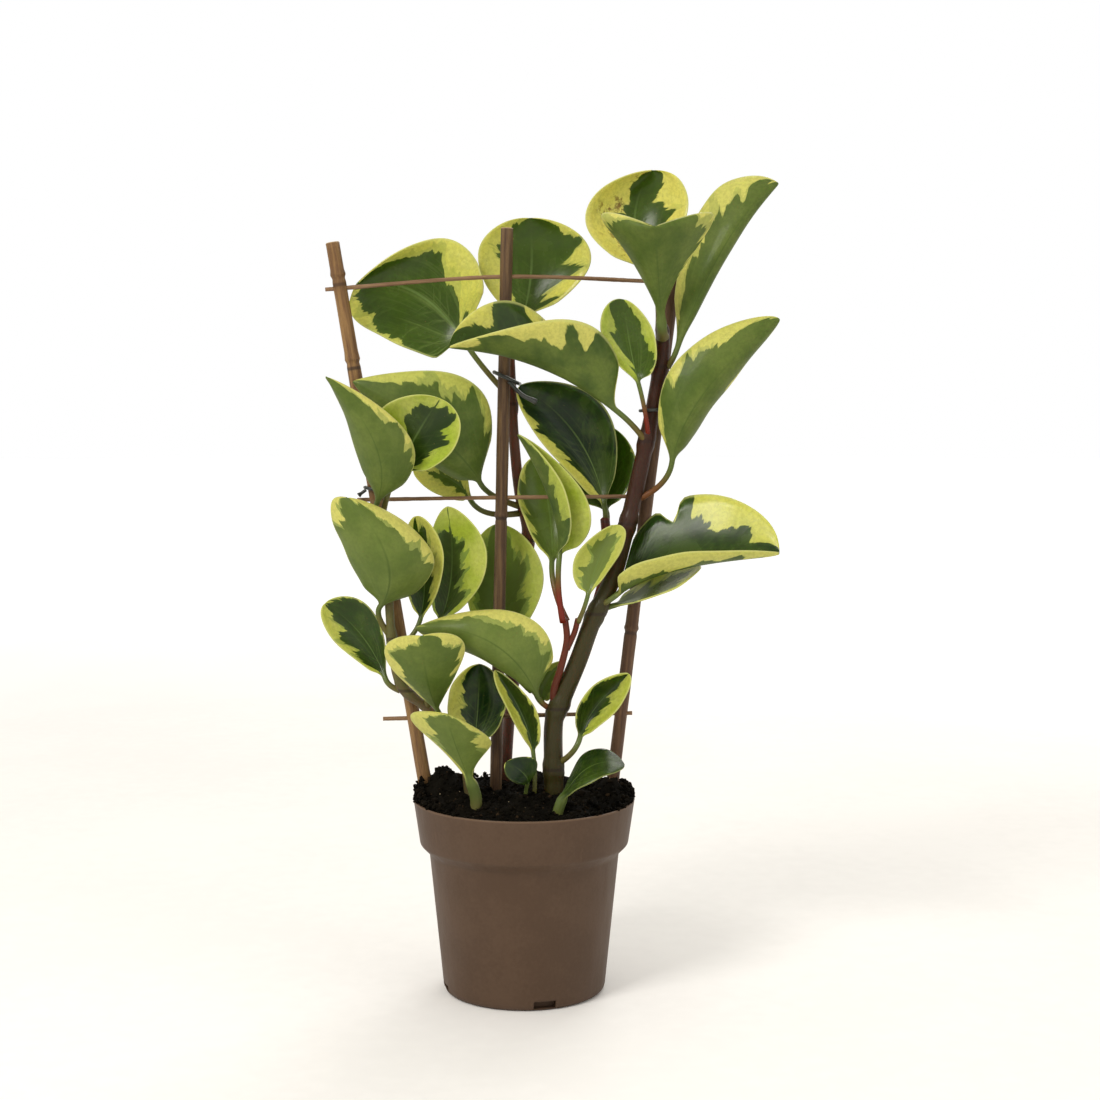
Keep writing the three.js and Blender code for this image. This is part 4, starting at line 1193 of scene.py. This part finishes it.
def leaf_part(leaf, seed):
    """Rings of a stalk along root (1 - t)^2 + 2 bend t (1 - t) + base t^2, and then rings that
    open from a circle into the blade. Each leaf's ripple has its own random numbers."""
    random = np.random.default_rng(seed)
    wave = (random.uniform(1.5, 3), random.uniform(0, 1), random.uniform(0.2, 0.5))
    radius = leaf.get("stalk", STALK_RADIUS)
    upper = np.linspace(-1, 1, ACROSS)
    v = np.concatenate([upper, [1], upper[::-1], [-1]])
    face = np.concatenate([np.ones(ACROSS), [0], -np.ones(ACROSS), [0]])
    steps = np.arange(1, BLADE_RINGS + 1) / BLADE_RINGS
    u = np.minimum((1 - np.cos(math.pi * steps)) / 2, 0.9992)
    blade, side, heading = blade_rings(u, v, face, leaf, wave)
    middle = blade_rings(u, np.zeros(1), np.zeros(1), leaf, (0, 0, 0))[0][:, 0]
    circle = round_rings(middle, side, heading, radius)
    open_share = ease(u / BLADE_OPENS)[:, None, None]
    blade = circle + (blade - circle) * open_share
    root, base = np.array(leaf["root"], float), np.array(leaf["base"], float)
    bend = base - heading[0] * np.linalg.norm(root - base) / 2
    t = np.linspace(0, 1, STALK_RINGS, endpoint=False)[:, None]
    stalk_line = root * (1 - t) ** 2 + 2 * bend * t * (1 - t) + base * t ** 2
    stalk_heading = unit((bend - root) * (1 - t) + (base - bend) * t)
    stalk_side = side[:1] - (stalk_heading @ side[0])[:, None] * stalk_heading
    thick = radius * (1 + 0.25 * (1 - t) ** 4)
    stalk = round_rings(stalk_line, unit(stalk_side), stalk_heading, thick[:, :, None])
    rings = np.concatenate([stalk, blade])
    ways = np.concatenate([t[:, 0] - 1, u])[:, None]
    marks = np.stack([ways + 0 * v, v + 0 * ways, face + 0 * ways], axis=-1)
    return skin(rings, marks)


print("points in a leaf:", len(leaf_part(LEAVES["top_back"], seed=2)[0]))

# %% [markdown]
# How a leaf is variegated
#
# The leaf has a green heart and a margin that lacks green, and the border between them
# follows the side veins: it runs out in feathers and lobes that point to the tip. Painting 33
# leaves by hand would be slow, and a plain noise would make blots. Here each point is traced
# back along its vein to the midrib, and a noise there says how far the green reaches on that
# vein. A second noise carries a middling green a little further out, where only some of the
# leaf's layers are green. Both faces share the pattern, since the colour goes right through,
# but the underside is paler and matte. Each leaf's four reaches, its seed and its tints are
# the group's inputs. Edge is the strength of the light line along the margin.

# %% Build the variegation
GREEN_INPUTS = ("Left Base", "Left Tip", "Right Base", "Right Tip")


def green_border(sketch, given, u, v):
    """How deep inside the green a point lies: its vein's reach minus its way to the margin."""
    across = sketch.calculate("ABSOLUTE", v)
    right = sketch.calculate("GREATER_THAN", v, 0.0)
    reach_left = sketch.line(u, 0.1, 0.9, given["Left Base"], given["Left Tip"])
    reach_right = sketch.line(u, 0.1, 0.9, given["Right Base"], given["Right Tip"])
    reach = sketch.line(right, 0.0, 1.0, reach_left, reach_right)
    straight = sketch.minus(u, sketch.times(across, 0.3))
    vein = sketch.plus(straight, sketch.sway(sketch.noise(given["Object"], 70.0), 0.12))
    lane = sketch.plus(sketch.times(right, 5.0), sketch.times(across, 0.5))
    seed = sketch.times(given["Seed"], 7.3)
    broad = sketch.noise(sketch.point(sketch.times(vein, 5.5), lane, seed), 1.0, 1.0, 0.5)
    teeth = sketch.noise(sketch.point(sketch.times(vein, 14.0), lane, seed), 1.0, 4.0, 0.55)
    uneven = sketch.plus(sketch.sway(broad, given["Lobes"]), sketch.sway(teeth, 0.55))
    near_tip = sketch.times(sketch.step(u, 0.7, 1.0), given["Tip Rim"])
    margin = sketch.plus(across, sketch.times(sketch.minus(1.0, across), near_tip))
    return sketch.minus(sketch.plus(reach, uneven), margin), vein, across, seed


def leaf_masks(sketch, given):
    """What the colours of both faces share: places on the leaf, and masks from 0 to 1."""
    u, v, face = sketch.parts(given["Place"])
    depth, vein, across, seed = green_border(sketch, given, u, v)
    layers = sketch.point(sketch.times(vein, 8.0), across, sketch.plus(seed, 3.7))
    further = sketch.line(sketch.noise(layers, 1.0, 3.0, 0.6), 0.42, 0.72, 0.0, 0.34)
    between = sketch.step(sketch.plus(depth, further), -0.01, 0.03)
    fan = sketch.calculate("DIVIDE", v, sketch.calculate("POWER", sketch.larger(u, 0.02), 0.35))
    rays = sketch.noise(sketch.point(sketch.times(fan, 9.0), u, seed), 1.0, 3.0, 0.6)
    side_rays = sketch.noise(sketch.point(sketch.times(vein, 34.0), across, seed), 1.0, 2.0, 0.6)
    streak = sketch.step(sketch.larger(rays, sketch.times(side_rays, 0.92)), 0.48, 0.72)
    near_base = sketch.times(sketch.step(u, 0.95, 0.1), given["Streaks"])
    return {
        "u": u, "v": v, "across": across, "depth": depth, "rays": rays, "side rays": side_rays,
        "green": sketch.step(depth, -0.015, 0.02),
        "between": sketch.times(between, given["Middle"]),
        "streak": sketch.times(streak, near_base),
        "under": sketch.step(face, 0.5, -0.5),
        "slow": sketch.noise(given["Object"], 55.0, 3.0, 0.6),
    }


def upper_colour(sketch, given, masks):
    """A dark green heart, made darker on some leaves by their own tone and by painted shade, a margin from
    lime to cream that may be scorched, and between.
    """
    slow, streak, depth = masks["slow"], masks["streak"], masks["depth"]
    # The darker heart tint is partly the leaf's own darker green and partly painted shade on leaves that
    # lie in shade
    heart = sketch.mix(given["Deep Green And Shade"], colour(56, 76, 14), colour(13, 36, 8))
    heart = sketch.stain(heart, sketch.step(slow, 0.4, 0.7), 0.5, colour(72, 94, 20))
    heart = sketch.stain(heart, streak, 0.5, colour(112, 132, 64))
    heart = sketch.stain(heart, sketch.step(depth, 0.16, 0.02), 0.12, colour(96, 120, 48))
    outer = sketch.mix(given["Cream"], colour(152, 170, 48), colour(228, 216, 104))
    outer = sketch.stain(outer, sketch.step(slow, 0.3, 0.7), 0.5, colour(208, 206, 112))
    outer = sketch.stain(outer, streak, 0.3, colour(160, 178, 86))
    burnt = sketch.step(sketch.noise(given["Object"], 260.0, 4.0, 0.6), 0.5, 0.6)
    burnt = sketch.times(burnt, sketch.step(masks["v"], 0.0, -0.25))
    burnt = sketch.times(burnt, sketch.step(depth, -0.5, -0.08))
    outer = sketch.stain(outer, burnt, given["Scorch"], colour(132, 100, 44))
    outer = sketch.mix(masks["between"], outer, colour(112, 134, 58))
    return sketch.mix(masks["green"], outer, heart)


def lower_colour(sketch, given, masks):
    """The same regions in paler and duller tints, the heart darkened as on the upper face, partly by
    painted shade.
    """
    # The darker heart tint is partly the leaf's own darker green and partly painted shade on leaves that
    # lie in shade
    heart = sketch.mix(given["Deep Green And Shade"], colour(72, 91, 26), colour(46, 68, 22))
    heart = sketch.mix(sketch.step(masks["slow"], 0.35, 0.7), heart, colour(94, 109, 44))
    heart = sketch.stain(heart, masks["streak"], 0.25, colour(126, 140, 82))
    outer = sketch.mix(given["Cream"], colour(160, 170, 70), colour(216, 206, 112))
    outer = sketch.mix(masks["between"], outer, colour(116, 134, 62))
    return sketch.mix(masks["green"], outer, heart)


def with_details(sketch, given, masks, blade):
    """Adds grain, the leaf's own paleness, its light edge, the midrib and brown dots."""
    grain = sketch.step(sketch.noise(given["Object"], 520.0, 3.0, 0.7), 0.4, 0.62)
    blade = sketch.stain(blade, grain, 0.16, colour(34, 44, 10))
    blade = sketch.stain(blade, given["Pale"], 0.6, colour(150, 166, 84))
    edge = sketch.step(masks["across"], 0.97, 0.995)
    blade = sketch.stain(blade, edge, given["Edge"], colour(192, 194, 120))
    midrib = sketch.times(sketch.step(masks["across"], 0.035, 0.01), sketch.step(masks["u"], 0.95, 0.3))
    tint = sketch.mix(masks["under"], colour(104, 128, 66), colour(62, 82, 26))
    blade = sketch.stain(blade, midrib, 0.6, tint)
    cells = sketch.node("TexVoronoi", {"Vector": given["Object"], "Scale": 420.0})
    patchy = sketch.step(sketch.noise(given["Object"], 90.0, 2.0), 0.55, 0.66)
    dots = sketch.times(sketch.step(cells.outputs["Distance"], 0.16, 0.08), patchy)
    return sketch.stain(blade, dots, 0.6, colour(110, 92, 40))


def make_variegation():
    """The group that gives a point of any leaf its colour, roughness and relief."""
    inputs = {"Place": (0.0, 0.0, 0.0), "Object": (0.0, 0.0, 0.0), "Seed": 1.0, "Lobes": 1.1,
              "Tip Rim": 0.5, "Cream": 0.5, "Deep Green And Shade": 0.0, "Pale": 0.0, "Streaks": 0.5,
              "Scorch": 0.0, "Red": 0.3, "Edge": 0.6, "Middle": 0.5,
              **{name: 0.8 for name in GREEN_INPUTS}}
    outputs = {"Color": "Color", "Roughness": "Float", "Height": "Float"}
    tree, sketch, given, wanted = new_effect("Variegation", inputs, outputs)
    masks = leaf_masks(sketch, given)
    blade = sketch.mix(masks["under"], upper_colour(sketch, given, masks),
                       lower_colour(sketch, given, masks))
    blade = with_details(sketch, given, masks, blade)
    redder = sketch.step(masks["u"], -0.05, -0.7)
    stalk = sketch.stain(colour(90, 104, 50), redder, given["Red"], colour(112, 34, 20))
    sketch.feed(wanted["Color"], sketch.mix(sketch.step(masks["u"], -0.02, 0.12), stalk, blade))
    gloss = sketch.line(masks["slow"], 0.3, 0.7, 0.2, 0.3)
    matte = sketch.line(masks["slow"], 0.3, 0.7, 0.5, 0.62)
    sketch.feed(wanted["Roughness"], sketch.line(masks["under"], 0.0, 1.0, gloss, matte))
    fine = sketch.noise(given["Object"], 1400.0, 2.0, 0.6)
    relief = sketch.plus(sketch.times(masks["side rays"], 0.6), sketch.times(fine, 0.3))
    sketch.feed(wanted["Height"], sketch.plus(relief, sketch.times(masks["rays"], 0.5)))
    return tree


variegation = make_variegation()
print("variegation nodes:", len(variegation.nodes))

# %% [markdown]
# Every leaf gets its own material
#
# The materials differ only in the values that they give to the shared pattern. A thin coat
# gives the wax its soft shine, and a little light passes through the flesh.

# %% Put the leaves on
LOOKS = {"seed": "Seed", "tip_rim": "Tip Rim", "cream": "Cream", "deep": "Deep Green And Shade", "pale": "Pale",
         "streaks": "Streaks", "scorch": "Scorch", "red": "Red", "edge": "Edge",
         "middling": "Middle"}


def leaf_skin(name, leaf):
    """The shared pattern with one leaf's own values."""
    constants = {"Specular IOR Level": 0.22, "Coat Weight": 0.06, "Coat Roughness": 0.12,
                 "Subsurface Weight": 0.12, "Subsurface Scale": 0.004,
                 "Subsurface Radius": (0.6, 1.0, 0.25)}
    material, sketch, shader = new_material(f"leaf_skin_{name}", constants)
    values = {LOOKS[key]: float(leaf[key]) for key in LOOKS if key in leaf}
    values.update(zip(GREEN_INPUTS, map(float, leaf["green"])))
    values.update({"Place": sketch.marks(), "Object": sketch.object_place()})
    pattern = sketch.group(variegation, values)
    finish_material(sketch, shader, pattern["Color"], pattern["Roughness"], pattern["Height"], 0.12)
    return material


for name, leaf in LEAVES.items():
    part = leaf_part(leaf, leaf["seed"])
    make_piece(f"blade_{name}", [part], leaf_skin(name, leaf), f"leaf_{name}")

# %% [markdown]
# The studio
#
# A wide pale floor, a soft warm sky and three large soft lamps: a key from the upper left, a
# broad fill from the right and a lamp behind that lifts the leaves from the background. The
# sky looks white to the camera alone, and far from the plant the floor glows just enough to
# be as white, so no horizon shows. Neither adds light to the plant.

# %% Build the floor and the lights
WHITE = (1.0, 1.0, 1.0, 1.0)
SKY_LIGHT = (0.72, 0.69, 0.64)
BACKDROP = 1.05
FLOOR_PALENESS = 0.95
FLOOR_RADIUS = 9
FADE_START = 0.5
FADE_END = 2.5
PLANT_MIDDLE = (0, 0, 0.24)


def lay_floor(corners=96):
    """A disc so wide that its edge meets the pale sky. Its glow is what the light of the sky
    on the floor lacks to the backdrop's white."""
    angle = np.arange(corners) * 2 * math.pi / corners
    points = np.column_stack([np.cos(angle), np.sin(angle), 0 * angle]) * FLOOR_RADIUS
    mesh = bpy.data.meshes.new("floor")
    mesh.from_pydata(points.tolist(), [], [list(range(corners))])
    floor = bpy.data.objects.new("floor", mesh)
    bpy.context.collection.objects.link(floor)
    material, sketch, shader = new_material("floor_paint", {"Roughness": 0.7, "Emission Strength": 1.0})
    tones = {"Vector": sketch.object_place(), "Scale": 4.0, "Amount": 1.0,
             "Light": colour(250, 249, 247), "Dark": colour(246, 245, 243)}
    sketch.feed(shader.inputs["Base Color"], sketch.group(mottle, tones)["Color"])
    away = sketch.node("VectorMath", {0: sketch.object_place()}, operation="LENGTH").outputs["Value"]
    far = sketch.step(away, FADE_START, FADE_END)
    seen = sketch.node("LightPath", {}).outputs["Is Camera Ray"]
    missing = (*[BACKDROP - FLOOR_PALENESS * part for part in SKY_LIGHT], 1.0)
    glow = sketch.stain(colour(0, 0, 0), far, seen, missing)
    sketch.feed(shader.inputs["Emission Color"], glow)
    mesh.materials.append(material)


def aim(way):
    """The turn, about X and then about Z, that points a lamp's -Z along a way."""
    flat = math.hypot(way[0], way[1])
    return (math.atan2(flat, -way[2]), 0, math.atan2(-way[0], way[1]))


def hang_lamp(name, place, size, watts, tint=(1, 1, 1)):
    """A square lamp that looks at the middle of the plant."""
    light = bpy.data.lights.new(name, "AREA")
    light.size = size
    light.energy = watts
    light.color = tint
    lamp = bpy.data.objects.new(name, light)
    lamp.location = place
    lamp.rotation_euler = aim(np.subtract(PLANT_MIDDLE, place))
    bpy.context.collection.objects.link(lamp)


def light_sky():
    """A white sky for the camera, and a dimmer, warmer one that lights the scene."""
    world = bpy.data.worlds.new("studio")
    world.use_nodes = True
    background = world.node_tree.nodes["Background"]
    sketch = Sketch(world.node_tree)
    seen = sketch.node("LightPath", {}).outputs["Is Camera Ray"]
    sketch.feed(background.inputs["Color"], sketch.mix(seen, (*SKY_LIGHT, 1.0), WHITE))
    bpy.context.scene.world = world
    bpy.context.scene.view_settings.view_transform = "Standard"


lay_floor()
light_sky()
hang_lamp("key", (-0.9, -1.1, 1.4), size=0.6, watts=17, tint=(1.0, 0.97, 0.92))
hang_lamp("fill", (1.2, -1.0, 0.7), size=1.2, watts=3)
hang_lamp("back", (0.5, 1.3, 1.3), size=0.9, watts=8, tint=(1.0, 0.98, 0.95))
print("lamps:", [lamp.name for lamp in bpy.data.lights])
